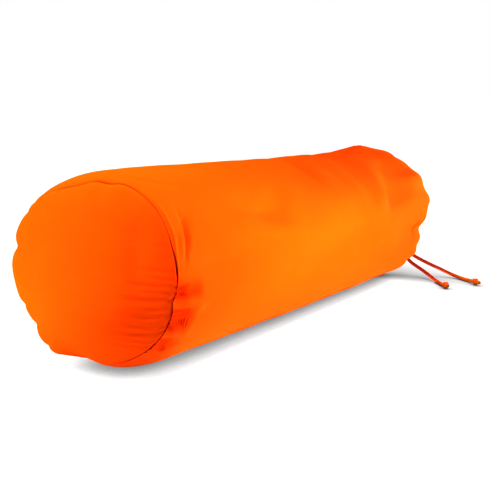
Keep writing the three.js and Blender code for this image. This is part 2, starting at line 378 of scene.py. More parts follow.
CRIMPS = (
    Crimps(0, 34, 90, 101, 3.3, 2.1),
    Crimps(-2, 42, 102, 121, 3.3, 2.3),
    Crimps(0, 36, 121, 138, 3.3, 1.9),
    Crimps(8, 34, 62, 90, 5, 0.3),
)

PANEL_CREASES = (
    PanelCrease(83, 78, 1, 0.62, 1.8, -0.6),
    PanelCrease(88, 84, 1, 0.7, 1.6, -0.7),
    PanelCrease(91, 91, 1, 0.5, 2.2, -1.3),
    PanelCrease(94, 97, 1, 0.62, 1.6, -0.9),
    PanelCrease(98, 108, 1, 0.42, 2.4, -1.4),
    PanelCrease(103, 112, 1, 0.66, 1.6, -0.9),
    PanelCrease(106.5, 124, 1, 0.5, 2.2, -1.5),
    PanelCrease(112, 128, 1, 0.62, 1.8, -1),
    PanelCrease(116, 140, 1, 0.56, 2.4, -1.3),
    PanelCrease(122, 141, 1, 0.68, 1.8, -0.9),
    PanelCrease(127, 150, 1, 0.64, 2.2, -1),
    PanelCrease(208, 207, 1, 0.8, 3, -1),
    PanelCrease(224, 225, 1, 0.78, 3, -1),
    PanelCrease(241, 240, 1, 0.8, 3, -1),
    PanelCrease(281, 280, 1, 0.72, 3.4, -1.3),
    PanelCrease(303, 304, 1, 0.8, 3, -1),
    PanelCrease(316, 315, 1, 0.8, 3, -1),
)

PANEL_SWELLS = (
    PanelSwell(-42, -42, 78, 46, 0, 10),
    PanelSwell(-30, -37, 62, 9, 0, 1),
    PanelSwell(-66, 48, 26, 12, 20, -1.8),
    PanelSwell(-79, 26, 38, 14, 80, -3.5),
)

# The tails' routes from the mouth over the ground to their knots: x from the seam, y and z.
TAIL_A = (
    (702.9, -34.4, 66.5),
    (707.8, -35.8, 65.4),
    (713, -39, 62.3),
    (716, -43, 57.8),
    (716.5, -48, 52),
    (715, -53.5, 46),
    (713, -59, 40.2),
    (711, -64.5, 34.9),
    (709, -70.5, 29.5),
    (707.5, -78, 24),
    (707.5, -86, 19.3),
    (706, -97.5, 13.8),
    (697, -112.5, 8.8),
    (681, -129, 5),
    (664, -145, 3.2),
    (650, -156.5, 3.8),
    (643, -162, 5),
)
TAIL_B = (
    (702.5, -28.5, 72.4),
    (707.5, -29.4, 72.5),
    (714, -32, 71),
    (719, -36, 67.6),
    (721.5, -41.5, 64),
    (721.5, -48, 59.5),
    (719.5, -55, 54.5),
    (716.5, -62.5, 49),
    (713, -70, 43),
    (711.8, -77.6, 38),
    (713, -85.5, 33.5),
    (717, -94, 28.6),
    (722, -103, 23.5),
    (726.3, -113, 18.5),
    (730.4, -122.6, 14),
    (732, -133, 9.5),
    (731, -144.5, 6),
    (726, -157, 3.8),
    (717.5, -170.5, 3.1),
    (707, -184.5, 3.9),
    (698.2, -193, 5.2),
)


def in_frame(points: np.ndarray) -> np.ndarray:
    """Moves points from the tables' millimetres to the part's frame in metres.

    Args:
        points: Points with x from the seam, in the last axis.

    Returns:
        The same points in the part's frame.
    """
    moved = np.array(points, float)
    moved[..., 0] -= SEAM_TO_ORIGIN
    return moved * MM


def curve_through(knots: Sequence[float], values: Sequence[float], x: np.ndarray) -> np.ndarray:
    """Reads a smooth curve through a table's rows.

    Args:
        knots: Where the rows are, in rising order.
        values: The rows' values.
        x: Where to read the curve. Outside the rows it keeps its end values.

    Returns:
        The curve's values at x.
    """
    at = np.asarray(knots, float)
    value = np.asarray(values, float)
    before = np.r_[0, np.arange(len(at) - 1)]
    after = np.r_[np.arange(1, len(at)), len(at) - 1]
    slope = (value[after] - value[before]) / (at[after] - at[before])
    inside = np.clip(x, at[0], at[-1])
    i = np.clip(np.searchsorted(at, inside, side="right") - 1, 0, len(at) - 2)
    length = at[i + 1] - at[i]
    t = (inside - at[i]) / length
    rise = t * t * (3 - 2 * t)
    level = value[i] + (value[i + 1] - value[i]) * rise
    return level + t * (1 - t) ** 2 * length * slope[i] + t * t * (t - 1) * length * slope[i + 1]


def turn_between(a: np.ndarray | float, b: np.ndarray | float) -> np.ndarray | float:
    """Returns the smallest angle from turn b to turn a, in degrees."""
    return (a - b + 180) % 360 - 180


def bell(distance: np.ndarray | float, spread: float) -> np.ndarray:
    """Returns a bell that is one at its middle and fades over its spread."""
    return np.exp(-((distance / spread) ** 2))


def off_route(points: np.ndarray, route: np.ndarray) -> tuple[np.ndarray, np.ndarray]:
    """Measures how far points are from a smooth route.

    Args:
        points: Points in the plane.
        route: The route's points.

    Returns:
        Each point's distance from the route, which is negative on its right, and the share of the route
        where it is nearest.
    """
    curve = smooth_route(route, max(np.ptp(route, axis=0).max() / FOLD_PIECES, 1.0))
    steps = np.diff(curve, axis=0)
    lengths = np.linalg.norm(steps, axis=1)
    before = np.cumsum(lengths) - lengths
    best = np.full(len(points), np.inf)
    share = np.zeros(len(points))
    for start, step, length, done in zip(curve, steps, lengths, before):
        from_start = points - start
        t = np.clip(from_start @ step / length**2, 0, 1)
        off = np.linalg.norm(from_start - t[:, None] * step, axis=1)
        off = np.copysign(off, step[0] * from_start[:, 1] - step[1] * from_start[:, 0])
        nearer = np.abs(off) < np.abs(best)
        best = np.where(nearer, off, best)
        share = np.where(nearer, (done + t * length) / lengths.sum(), share)
    return best, share


def smooth_step(x: np.ndarray | float, low: float, high: float) -> np.ndarray:
    """Returns a smooth rise from 0 at low to 1 at high."""
    t = np.clip((x - low) / (high - low), 0, 1)
    return t * t * (3 - 2 * t)


def between_edges(x: np.ndarray, rise: tuple[float, float], fall: tuple[float, float]) -> np.ndarray:
    """Returns 1 between two soft edges and 0 outside them. Each edge is where it starts and ends."""
    return smooth_step(x, *rise) * (1 - smooth_step(x, *fall))


def mix(a: np.ndarray | float, b: np.ndarray | float, share: np.ndarray | float) -> np.ndarray:
    """Returns the value at a share of the way from a to b."""
    return a + (b - a) * share


def rippled(angle: np.ndarray, ripples: Sequence[Ripple]) -> np.ndarray:
    """Returns the sum of the ripples at angles in radians."""
    return sum(ripple.size * np.sin(ripple.count * angle + ripple.phase) for ripple in ripples)


def patch_lift(ahead: np.ndarray, aside: np.ndarray, swell: Swell | PanelSwell) -> np.ndarray:
    """Gives how far one swell lifts the cloth.

    Args:
        ahead: Distances from its middle, along the bolster or along the level on the panel.
        aside: Distances from its middle, square to those.
        swell: The swell.

    Returns:
        The lift at each place.
    """
    heading = math.radians(swell.heading)
    cosine, sine = math.cos(heading), math.sin(heading)
    along = (ahead * cosine + aside * sine) / swell.length
    across = (aside * cosine - ahead * sine) / swell.width
    return swell.lift * np.exp(-(along**2) - across**2)


class Waves:
    """A soft random unevenness over the cloth, made of a few seeded waves that close round the tube."""

    def __init__(self, seed: int, count: int, shortest: float, longest: float, girth: float) -> None:
        """Draws the waves.

        Args:
            seed: The seed of the draw.
            count: How many waves are added up.
            shortest: The shortest wavelength in millimetres.
            longest: The longest one.
            girth: The length once round the cloth.
        """
        draw = np.random.default_rng(seed)
        wavelength = np.exp(draw.uniform(math.log(shortest), math.log(longest), count))
        heading = draw.uniform(0, 2 * math.pi, count)
        self.round = np.rint(girth * np.cos(heading) / wavelength)
        self.along = 2 * math.pi * np.sin(heading) / wavelength
        self.phase = draw.uniform(0, 2 * math.pi, count)

    def at(self, x: np.ndarray, turn: np.ndarray) -> np.ndarray:
        """Reads the unevenness.

        Args:
            x: Distances along the cloth.
            turn: Angles round it.

        Returns:
            The unevenness, mostly between -1 and 1.
        """
        angle = np.radians(turn)
        total = np.zeros(np.broadcast(x, turn).shape)
        for around, along, phase in zip(self.round, self.along, self.phase):
            total += np.cos(around * angle + along * x + phase)
        return total / math.sqrt(len(self.phase))


@dataclass(frozen=True)
class BolsterForm:
    """The bolster's form: the place of each point of its cloth.

    Its length, girth, seam and mouth are those of the part's solids. Its folds and swells are finer.
    """

    cloth: float = 2.0
    gap: float = 0.35
    panel_crown: float = 18.0
    panel_edge: float = 4.0  # how far the panel's rounded rim stands out of its seam
    panel_edge_power: int = 8  # the higher it is, the tighter the rim turns
    panel_calm: float = 0.6  # the share of its radius within which the seam's puckers don't show
    pinch_from: float = 0.95  # the share of its radius from which the seam pulls it in
    panel_tuck: tuple[float, float] = (0.8, 0.6)  # how its edge turns in: along the bolster and inward
    tube_tuck: float = 1.4  # how steeply the tube's edge turns inward
    seam_tilt: float = 0.135
    seam_tilt_fade: float = 190.0
    seam_half_width: float = 116.0
    seam_top: float = 211.0
    seam_bottom: float = 14.0
    roll_top: float = 26.0
    roll_bottom: float = 78.0
    mouth_y: float = -31.0
    mouth_z: float = 69.0
    mean_radius: float = 116.0
    lobes_start: float = 520.0
    lobes_full: float = 655.0
    fold_fade: float = 0.35  # the share of a fold's route over which it fades at each end
    pleats: int = 20
    pinch: float = 0.9  # below 1 the gathers' ridges get rounder
    pinch_edges: tuple[float, float] = (0.02, 0.3)  # shares of the way in over which they get sharp
    fine_gathers: float = 0.4
    fine_edges: tuple[float, float] = (0.45, 0.7)  # shares of the way in over which the finer ones rise
    groove: float = 2.2  # depth of the groove that the seam is pulled into
    floor: float = 0.3  # the cloth lies this far above the ground
    drift_reach: float = 70.0  # how far behind the seam its drift along the bolster is lost
    dimple_lip: float = 3.5  # the cloth beside the seam over which a dimple deepens
    dimple_fade: float = 0.35  # the share of a dimple's reach over which it ends
    shade_width: float = 0.03  # how far out of the seam its dark line of painted shade reaches
    shade_widening: float = 0.22  # how much further it reaches where the seam gapes
    shade_turn: float = 116.0
    shade_spread: float = 30.0
    crimp_wander: float = 0.8  # how far the crimps stray from straight rings
    crimp_slant: float = 0.5  # how much they bend with the dimples' depth
    crimp_start: float = 0.08  # the share of a patch's length over which its crimps rise
    crimp_end: float = 0.25
    crimp_side: float = 0.25

    @property
    def girth(self) -> float:
        """The length once round the filled tube."""
        return 2 * math.pi * self.mean_radius

    @property
    def seam_middle(self) -> float:
        """The height of the sewn circle's middle."""
        return (self.seam_top + self.seam_bottom) / 2

    def seam(self, turn: np.ndarray, drawn: np.ndarray | float = 1.0) -> tuple[np.ndarray, np.ndarray]:
        """Gives the oval of the seam.

        Args:
            turn: Angles round the bolster.
            drawn: How much of its puckers and drift shows, from 0 to 1.

        Returns:
            The seam's y and z at each turn.
        """
        half_height = (self.seam_top - self.seam_bottom) / 2
        pull = sum(p.inward * bell(turn_between(turn, p.turn), p.spread) for p in SEAM_PUCKERS)
        pull = (pull - self.seam_drift(turn)[0]) * drawn
        angle = np.radians(turn)
        y = -(self.seam_half_width - pull) * np.sin(angle)
        return y, self.seam_middle + (half_height - pull) * np.cos(angle)

    def seam_drift(self, turn: np.ndarray) -> tuple[np.ndarray, np.ndarray]:
        """Reads the seam's drift.

        Args:
            turn: Angles round the bolster.

        Returns:
            How far the seam lies outside its oval, and how far along the bolster.
        """
        rows = np.array(SEAM_DRIFTS)
        rows = np.vstack([rows[-2:] - (360, 0, 0), rows, rows[:2] + (360, 0, 0)])
        at = np.mod(turn, 360)
        return curve_through(rows[:, 0], rows[:, 1], at), curve_through(rows[:, 0], rows[:, 2], at)

    def seam_shade(self, off: np.ndarray, turn: np.ndarray) -> np.ndarray:
        """Gives the painted shade of the seam's groove, strongest deep in the seam.

        Args:
            off: Distances from the seam along the cloth.
            turn: Angles round the bolster.

        Returns:
            The painted shade at each point, from 0 to 1.
        """
        gape = bell(turn_between(turn, self.shade_turn), self.shade_spread)
        return 1 - smooth_step(off / (self.shade_width + self.shade_widening * gape), 0.35, 1.3)

    def dimple_lift(self, x: np.ndarray, turn: np.ndarray) -> np.ndarray:
        """Gives how far the dimples beside the seam lower the wall.

        Args:
            x: Distances from the seam.
            turn: Angles round the bolster.

        Returns:
            The negative lift at each x and turn.
        """
        lift = np.zeros(np.broadcast(x, turn).shape)
        for dimple in DIMPLES:
            off = turn_between(turn, dimple.turn)
            spread = np.where(off < 0, dimple.before, dimple.after)
            ramp = np.clip(1 - x / dimple.reach, 0, 1)
            ends = smooth_step(ramp, 0, self.dimple_fade) * smooth_step(x, 0, self.dimple_lip)
            lift -= dimple.depth * bell(off, spread) * ramp * ends
        return lift

    def seam_lean(self, x: np.ndarray, z: np.ndarray) -> np.ndarray:
        """Returns how far the seam's lean moves a point along x."""
        return self.seam_tilt * (z - self.seam_middle) * (1 - smooth_step(x, 0, self.seam_tilt_fade))

    def fold_lift(self, x: np.ndarray, turn: np.ndarray, folds: Sequence[Fold]) -> np.ndarray:
        """Gives how far folds lift the cloth.

        Args:
            x: Distances from the seam.
            turn: Angles round the bolster.
            folds: The folds.

        Returns:
            The lift at each x and turn.
        """
        per_degree = self.girth / 360
        x, turn = np.broadcast_arrays(x, turn)
        lift = np.zeros(x.shape)
        for fold in folds:
            middle = fold.route[len(fold.route) // 2][1]
            route = np.array([(at, turn_between(angle, middle) * per_degree) for at, angle in fold.route])
            side = turn_between(turn, middle) * per_degree
            reach = 3 * max(fold.width, fold.right_width)
            low, high = route.min(0) - reach, route.max(0) + reach
            near = (x > low[0]) & (x < high[0]) & (side > low[1]) & (side < high[1])
            if near.any():
                off, share = off_route(np.stack([x[near], side[near]], -1), route)
                fade = between_edges(share, (0, self.fold_fade), (1 - self.fold_fade, 1))
                width = np.where(off < 0, fold.right_width or fold.width, fold.width)
                lift[near] += fold.lift * fade * bell(off, width)
        return lift

    def swell_lift(self, x: np.ndarray, turn: np.ndarray) -> np.ndarray:
        """Gives how far the swells lift the cloth.

        Args:
            x: Distances from the seam.
            turn: Angles round the bolster.

        Returns:
            The lift at each x and turn.
        """
        lift = np.zeros(np.broadcast(x, turn).shape)
        for swell in (*NEAR_SWELLS, *STREAK_SWELLS, *SHOULDER_SWELLS):
            aside = turn_between(turn, swell.turn) * self.girth / 360
            lift += patch_lift(x - swell.x, aside, swell)
        return lift

    def crimp_lift(self, x: np.ndarray, turn: np.ndarray) -> np.ndarray:
        """Gives the height of the fine crimps beside the seam.

        Args:
            x: Distances from the seam.
            turn: Angles round the bolster.

        Returns:
            The height at each x and turn.
        """
        lift = np.zeros(np.broadcast(x, turn).shape)
        bends = Waves(seed=21, count=6, shortest=24, longest=90, girth=self.girth)
        heights = Waves(seed=22, count=8, shortest=7, longest=26, girth=self.girth)
        wander = self.crimp_wander * bends.at(x, turn)
        wander = wander + self.crimp_slant * self.dimple_lift(x, turn)
        unevenness = 0.6 + 0.5 * heights.at(x, turn)
        for patch in CRIMPS:
            length = patch.to_x - patch.x
            start, end = self.crimp_start * length, self.crimp_end * length
            side = self.crimp_side * (patch.to_turn - patch.turn)
            window = between_edges(x, (patch.x, patch.x + start), (patch.to_x - end, patch.to_x))
            window = window * between_edges(
                turn, (patch.turn, patch.turn + side), (patch.to_turn - side, patch.to_turn))
            wave = np.abs(np.sin(math.pi * (x + wander) / patch.pitch)) - 0.5
            lift += patch.height * window * unevenness * wave
        return lift

    def lobe_lift(self, x: np.ndarray, turn: np.ndarray) -> np.ndarray:
        """Returns how far the lobes of the far shoulder stand out at x and turn."""
        out = sum(lobe.out * bell(turn_between(turn, lobe.turn), lobe.spread) for lobe in LOBES)
        return smooth_step(x, self.lobes_start, self.lobes_full) * out

    def gather(self, turn: np.ndarray, sharpness: np.ndarray) -> np.ndarray:
        """Gives the gathers as an uneven wave round the tube.

        Args:
            turn: Angles round the bolster.
            sharpness: From 0, a plain wave, to 1, round ridges between narrow valleys.

        Returns:
            The wave, from -1 in the valleys to 1 on the ridges.
        """
        a = np.radians(turn)
        phase = self.pleats * a + rippled(a, GATHER_DRIFTS)
        pinched = 2 * np.abs(np.cos(phase / 2)) ** self.pinch - 1
        most = 1 - sum(ripple.size for ripple in GATHER_HEIGHTS)
        return mix(np.cos(phase), pinched, sharpness) * (most + rippled(a, GATHER_HEIGHTS))

    def fine_gather(self, turn: np.ndarray) -> np.ndarray:
        """Gives the second, finer gathers near the mouth.

        Args:
            turn: Angles round the bolster.

        Returns:
            The wave, from -1 in the valleys to 1 on the ridges.
        """
        a = np.radians(turn)
        phase = 2 * self.pleats * a + rippled(a, FINE_GATHER_DRIFTS)
        return 2 * np.abs(np.cos(phase / 2)) - 1

    def wall(self, x: np.ndarray, turn: np.ndarray) -> tuple[np.ndarray, np.ndarray]:
        """Gives the tube's wall before it is laid flat on the ground.

        Args:
            x: Distances from the seam.
            turn: Angles round the bolster.

        Returns:
            The wall's y and z.
        """
        at = [section.x for section in SECTIONS]
        half_width = curve_through(at, [section.half_width for section in SECTIONS], x)
        top = curve_through(at, [section.top for section in SECTIONS], x)
        bottom = curve_through(at, [section.bottom for section in SECTIONS], x)
        out = self.fold_lift(x, turn, FOLDS) + self.lobe_lift(x, turn)
        angle = np.radians(turn)
        y = -(half_width + out) * np.sin(angle)
        return y, (top + bottom) / 2 + ((top - bottom) / 2 + out) * np.cos(angle)

    def panel(self, share: np.ndarray, turn: np.ndarray) -> np.ndarray:
        """Gives points of the round panel's outer face.

        Args:
            share: Shares of the panel's radius. Past 1 the cloth turns into the seam.
            turn: Angles round the bolster.

        Returns:
            Points in millimetres, with x from the seam.
        """
        inside = np.minimum(share, 1)
        drawn = smooth_step(inside, self.panel_calm, 1)
        seam_y, seam_z = self.seam(turn, drawn)
        tuck = np.maximum(share - 1, 0) * self.mean_radius
        along, inward = self.panel_tuck
        pinch = (self.groove * smooth_step(inside, self.pinch_from, 1) + inward * tuck) / self.mean_radius
        scale = inside - pinch
        z = np.maximum(mix(self.seam_middle, seam_z, scale), self.floor)
        rim = np.sqrt(1 - inside**self.panel_edge_power)
        bulge = self.panel_crown * (1 - inside**2) + self.panel_edge * rim
        x = self.seam_lean(0, z) - bulge + along * tuck + self.seam_drift(turn)[1] * drawn
        return np.stack([x, seam_y * scale, z], -1)

    def tube(self, x: np.ndarray, turn: np.ndarray) -> np.ndarray:
        """Gives points of the tube, which rolls out from the seam's oval to the wall.

        Args:
            x: Distances from the seam. Before the tube's edge the cloth turns into the seam.
            turn: Angles round the bolster.

        Returns:
            Points in millimetres, with x from the seam.
        """
        edge = self.cloth + self.gap
        tuck = np.maximum(edge - x, 0)
        onward = np.maximum(x, edge)
        roll = mix(self.roll_top, self.roll_bottom, ((1 - np.cos(np.radians(turn))) / 2) ** 2)
        share = np.clip((onward - edge) / roll, 0, 1)
        rise = np.sqrt(1 - (1 - share) ** 2)
        seam_y, seam_z = self.seam(turn)
        scale = 1 - (self.groove + self.tube_tuck * tuck) / self.mean_radius
        wall_y, wall_z = self.wall(onward, turn)
        dimple = self.dimple_lift(onward - edge, turn)
        angle = np.radians(turn)
        z = mix(mix(self.seam_middle, seam_z, scale), wall_z, rise) + dimple * np.cos(angle)
        z = np.maximum(z, self.floor)
        y = mix(seam_y * scale, wall_y, rise) - dimple * np.sin(angle)
        drift = self.seam_drift(turn)[1] * (1 - smooth_step(onward, 0, self.drift_reach))
        return np.stack([onward + tuck**2 / 4 + self.seam_lean(onward, z) + drift, y, z], -1)

    def end(self, x: np.ndarray, reach: np.ndarray, pleat: np.ndarray, facing: np.ndarray,
            turn: np.ndarray) -> np.ndarray:
        """Gives points of the drawn end.

        Args:
            x: Distances from the seam.
            reach: Shares of the way from the mouth to the wall.
            pleat: The gathers' heights.
            facing: How far the gathers stand along the bolster instead of out of its wall.
            turn: Angles round the bolster.

        Returns:
            Points in millimetres, with x from the seam.
        """
        wall_y, wall_z = self.wall(x, turn)
        sharpness = smooth_step(1 - reach, *self.pinch_edges)
        fine = self.fine_gathers * smooth_step(1 - reach, *self.fine_edges)
        lift = pleat * (self.gather(turn, sharpness) + fine * self.fine_gather(turn))
        out = lift * (1 - facing)
        angle = np.radians(turn)
        y = mix(self.mouth_y, wall_y, reach) - out * np.sin(angle)
        z = mix(self.mouth_z, np.maximum(wall_z, self.floor), reach) + out * np.cos(angle)
        return np.stack([x + lift * facing, y, np.maximum(z, self.floor)], -1)


def outward(points: np.ndarray) -> np.ndarray:
    """Gives the outward direction at each point of a grid that closes round the bolster.

    Args:
        points: Rings by columns by 3.

    Returns:
        Directions of the same shape.
    """
    around = np.roll(points, -1, 1) - np.roll(points, 1, 1)
    along = np.gradient(points, axis=0)
    normal = np.cross(around, along)
    return normal / np.maximum(np.linalg.norm(normal, axis=2, keepdims=True), 1e-9)


def link(name: str, data: bpy.types.ID) -> bpy.types.Object:
    """Adds an object to the scene.

    Args:
        name: The object's name.
        data: Its mesh, light or camera.

    Returns:
        The object.
    """
    added = bpy.data.objects.new(name, data)
    bpy.context.scene.collection.objects.link(added)
    return added


def skin(name: str, rings: np.ndarray, cloth: np.ndarray, poles: tuple[np.ndarray, np.ndarray],
         painted_seam_shade: np.ndarray | None = None) -> bpy.types.Object:
    """Makes a closed mesh from a grid of rings and a point at each of its ends.

    Args:
        name: The piece's name.
        rings: Rings by columns by 3, in metres.
        cloth: The place of each point on its cloth, rings by columns + 1 by 2, in metres.
        poles: The points that close the first and the last ring.
        painted_seam_shade: The painted shade of the seam's groove at each point, rings by columns, where
            the piece has a seam.

    Returns:
        The piece, with smooth faces and a map called CLOTH_MAP.
    """
    count, columns = rings.shape[:2]
    vertices = np.concatenate([rings.reshape(-1, 3), np.array(poles)])
    i, j = np.meshgrid(np.arange(count - 1), np.arange(columns), indexing="ij")
    after = (j + 1) % columns
    this, onward = i * columns, (i + 1) * columns
    quads = np.stack([this + j, this + after, onward + after, onward + j], -1)
    quad_map = np.stack([cloth[i, j], cloth[i, j + 1], cloth[i + 1, j + 1], cloth[i + 1, j]], 2)
    k = np.arange(columns)
    k_after = (k + 1) % columns
    first_pole = count * columns
    start = np.stack([np.full(columns, first_pole), k_after, k], -1)
    last = (count - 1) * columns
    end = np.stack([np.full(columns, first_pole + 1), last + k, last + k_after], -1)
    start_map = np.stack([(cloth[0, k] + cloth[0, k + 1]) / 2, cloth[0, k + 1], cloth[0, k]], 1)
    end_map = np.stack([(cloth[-1, k] + cloth[-1, k + 1]) / 2, cloth[-1, k], cloth[-1, k + 1]], 1)
    faces = [*quads.reshape(-1, 4).tolist(), *start.tolist(), *end.tolist()]
    mesh = bpy.data.meshes.new(name)
    mesh.from_pydata(vertices.tolist(), [], faces)
    layer = mesh.uv_layers.new(name=CLOTH_MAP)
    corners = np.concatenate([quad_map.reshape(-1, 2), start_map.reshape(-1, 2), end_map.reshape(-1, 2)])
    layer.data.foreach_set("uv", corners.astype(np.float32).ravel())
    if painted_seam_shade is not None:
        # Keeps the painted shade of the seam's groove on the mesh, for the cotton to read.
        depth = mesh.attributes.new(PAINTED_SEAM_SHADE, "FLOAT", "POINT")
        depth.data.foreach_set("value", np.r_[painted_seam_shade.ravel(), 0, 0].astype(np.float32))
    mesh.polygons.foreach_set("use_smooth", np.ones(len(faces), bool))
    mesh.update()
    return link(name, mesh)


def rows_between(start: float, end: float, step: float) -> np.ndarray:
    """Returns evenly spaced numbers from start up to, but without, end."""
    return np.linspace(start, end, max(round(abs(end - start) / step), 1), endpoint=False)


class Slot(Enum):
    """The record's material slots."""

    COTTON = "orange_cotton"
    CORD = "drawcord"


def stand_for(piece: bpy.types.Object, node: str) -> None:
    """Puts a piece on the part's one body, in place of a solid.

    Args:
        piece: The piece.
        node: The solid's node.
    """
    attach(piece, "root")
    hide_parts(node)


class Nodes:
    """A short way to write a material's nodes."""

    def __init__(self, name: str) -> None:
        """Starts a material with a Principled shader.

        Args:
            name: The material's name.
        """
        self.material = bpy.data.materials.new(name)
        self.material.use_nodes = True
        self.tree = self.material.node_tree
        self.shader = self.tree.nodes["Principled BSDF"]

    def add(self, kind: str, inputs: dict[str | int, object] | None = None,
            **options: object) -> bpy.types.Node:
        """Adds a node.

        Args:
            kind: The node's type without "ShaderNode".
            inputs: Values or sockets for its inputs, by name or number.
            options: The node's own settings.

        Returns:
            The node.
        """
        node = self.tree.nodes.new("ShaderNode" + kind)
        for option, value in options.items():
            setattr(node, option, value)
        for key, value in (inputs or {}).items():
            self.feed(node.inputs[key], value)
        return node

    def dress(self, inputs: dict[str, object]) -> None:
        """Sets or links the shader's own inputs, by name."""
        for key, value in inputs.items():
            self.feed(self.shader.inputs[key], value)

    def feed(self, socket: bpy.types.NodeSocket, value: object) -> None:
        """Links a socket, or sets its value.

        Args:
            socket: The socket to feed.
            value: Another socket, or a value.
        """
        if isinstance(value, bpy.types.NodeSocket):
            self.tree.links.new(value, socket)
        else:
            socket.default_value = value

    def math(self, operation: str, *values: object) -> bpy.types.NodeSocket:
        """Returns the result of a Math node on the values."""
        return self.add("Math", dict(enumerate(values)), operation=operation).outputs[0]

    def rise(self, value: bpy.types.NodeSocket, start: float, slope: float,
             top: float = 1.0) -> bpy.types.NodeSocket:
        """Returns a ramp that is 0 up to start and then rises with the slope, up to the top."""
        ramp = self.math("MULTIPLY_ADD", value, slope, -slope * start)
        return self.math("MINIMUM", self.math("MAXIMUM", ramp, 0.0), top)

    def open_sky(self, reach: float) -> bpy.types.NodeSocket:
        """Returns the share of the sky that nothing nearer than the reach hides."""
        return self.add("AmbientOcclusion", {"Distance": reach}, samples=SHADE_SAMPLES).outputs["AO"]

    def noise(self, vector: bpy.types.NodeSocket, scale: float, detail: float) -> bpy.types.NodeSocket:
        """Returns the height of a Noise Texture, about 0.5 on average."""
        node = self.add("TexNoise", {"Vector": vector, "Scale": scale, "Detail": detail})
        return node.outputs["Fac"]

    def stretched(self, vector: bpy.types.NodeSocket, scale: Sequence[float]) -> bpy.types.NodeSocket:
        """Returns a vector scaled along its axes."""
        node = self.add("VectorMath", {0: vector, 1: tuple(scale)}, operation="MULTIPLY")
        return node.outputs[0]

    def bump(self, height: bpy.types.NodeSocket, distance: float, strength: float = 1.0,
             under: bpy.types.NodeSocket | None = None) -> bpy.types.NodeSocket:
        """Returns the normal of a Bump node.

        Args:
            height: The height, from 0 to 1.
            distance: The height's size in metres.
            strength: How strongly it shows.
            under: The normal of the relief under this one.

        Returns:
            The normal's socket.
        """
        inputs = {"Height": height, "Distance": distance, "Strength": strength}
        if under is not None:
            inputs["Normal"] = under
        return self.add("Bump", inputs).outputs[0]

    def between(self, share: bpy.types.NodeSocket, low: bpy.types.NodeSocket | Sequence[float],
                high: Sequence[float]) -> bpy.types.NodeSocket:
        """Mixes two colours.

        Args:
            share: How far the colour is from low to high.
            low: The first colour, or a socket with it.
            high: The second colour.

        Returns:
            The mixed colour's socket.
        """
        node = self.add("Mix", {"Factor": share}, data_type="RGBA")
        self.feed(node.inputs[MIX_LOW], low if isinstance(low, bpy.types.NodeSocket) else (*low, 1))
        self.feed(node.inputs[MIX_HIGH], (*high, 1))
        return node.outputs[MIX_RESULT]


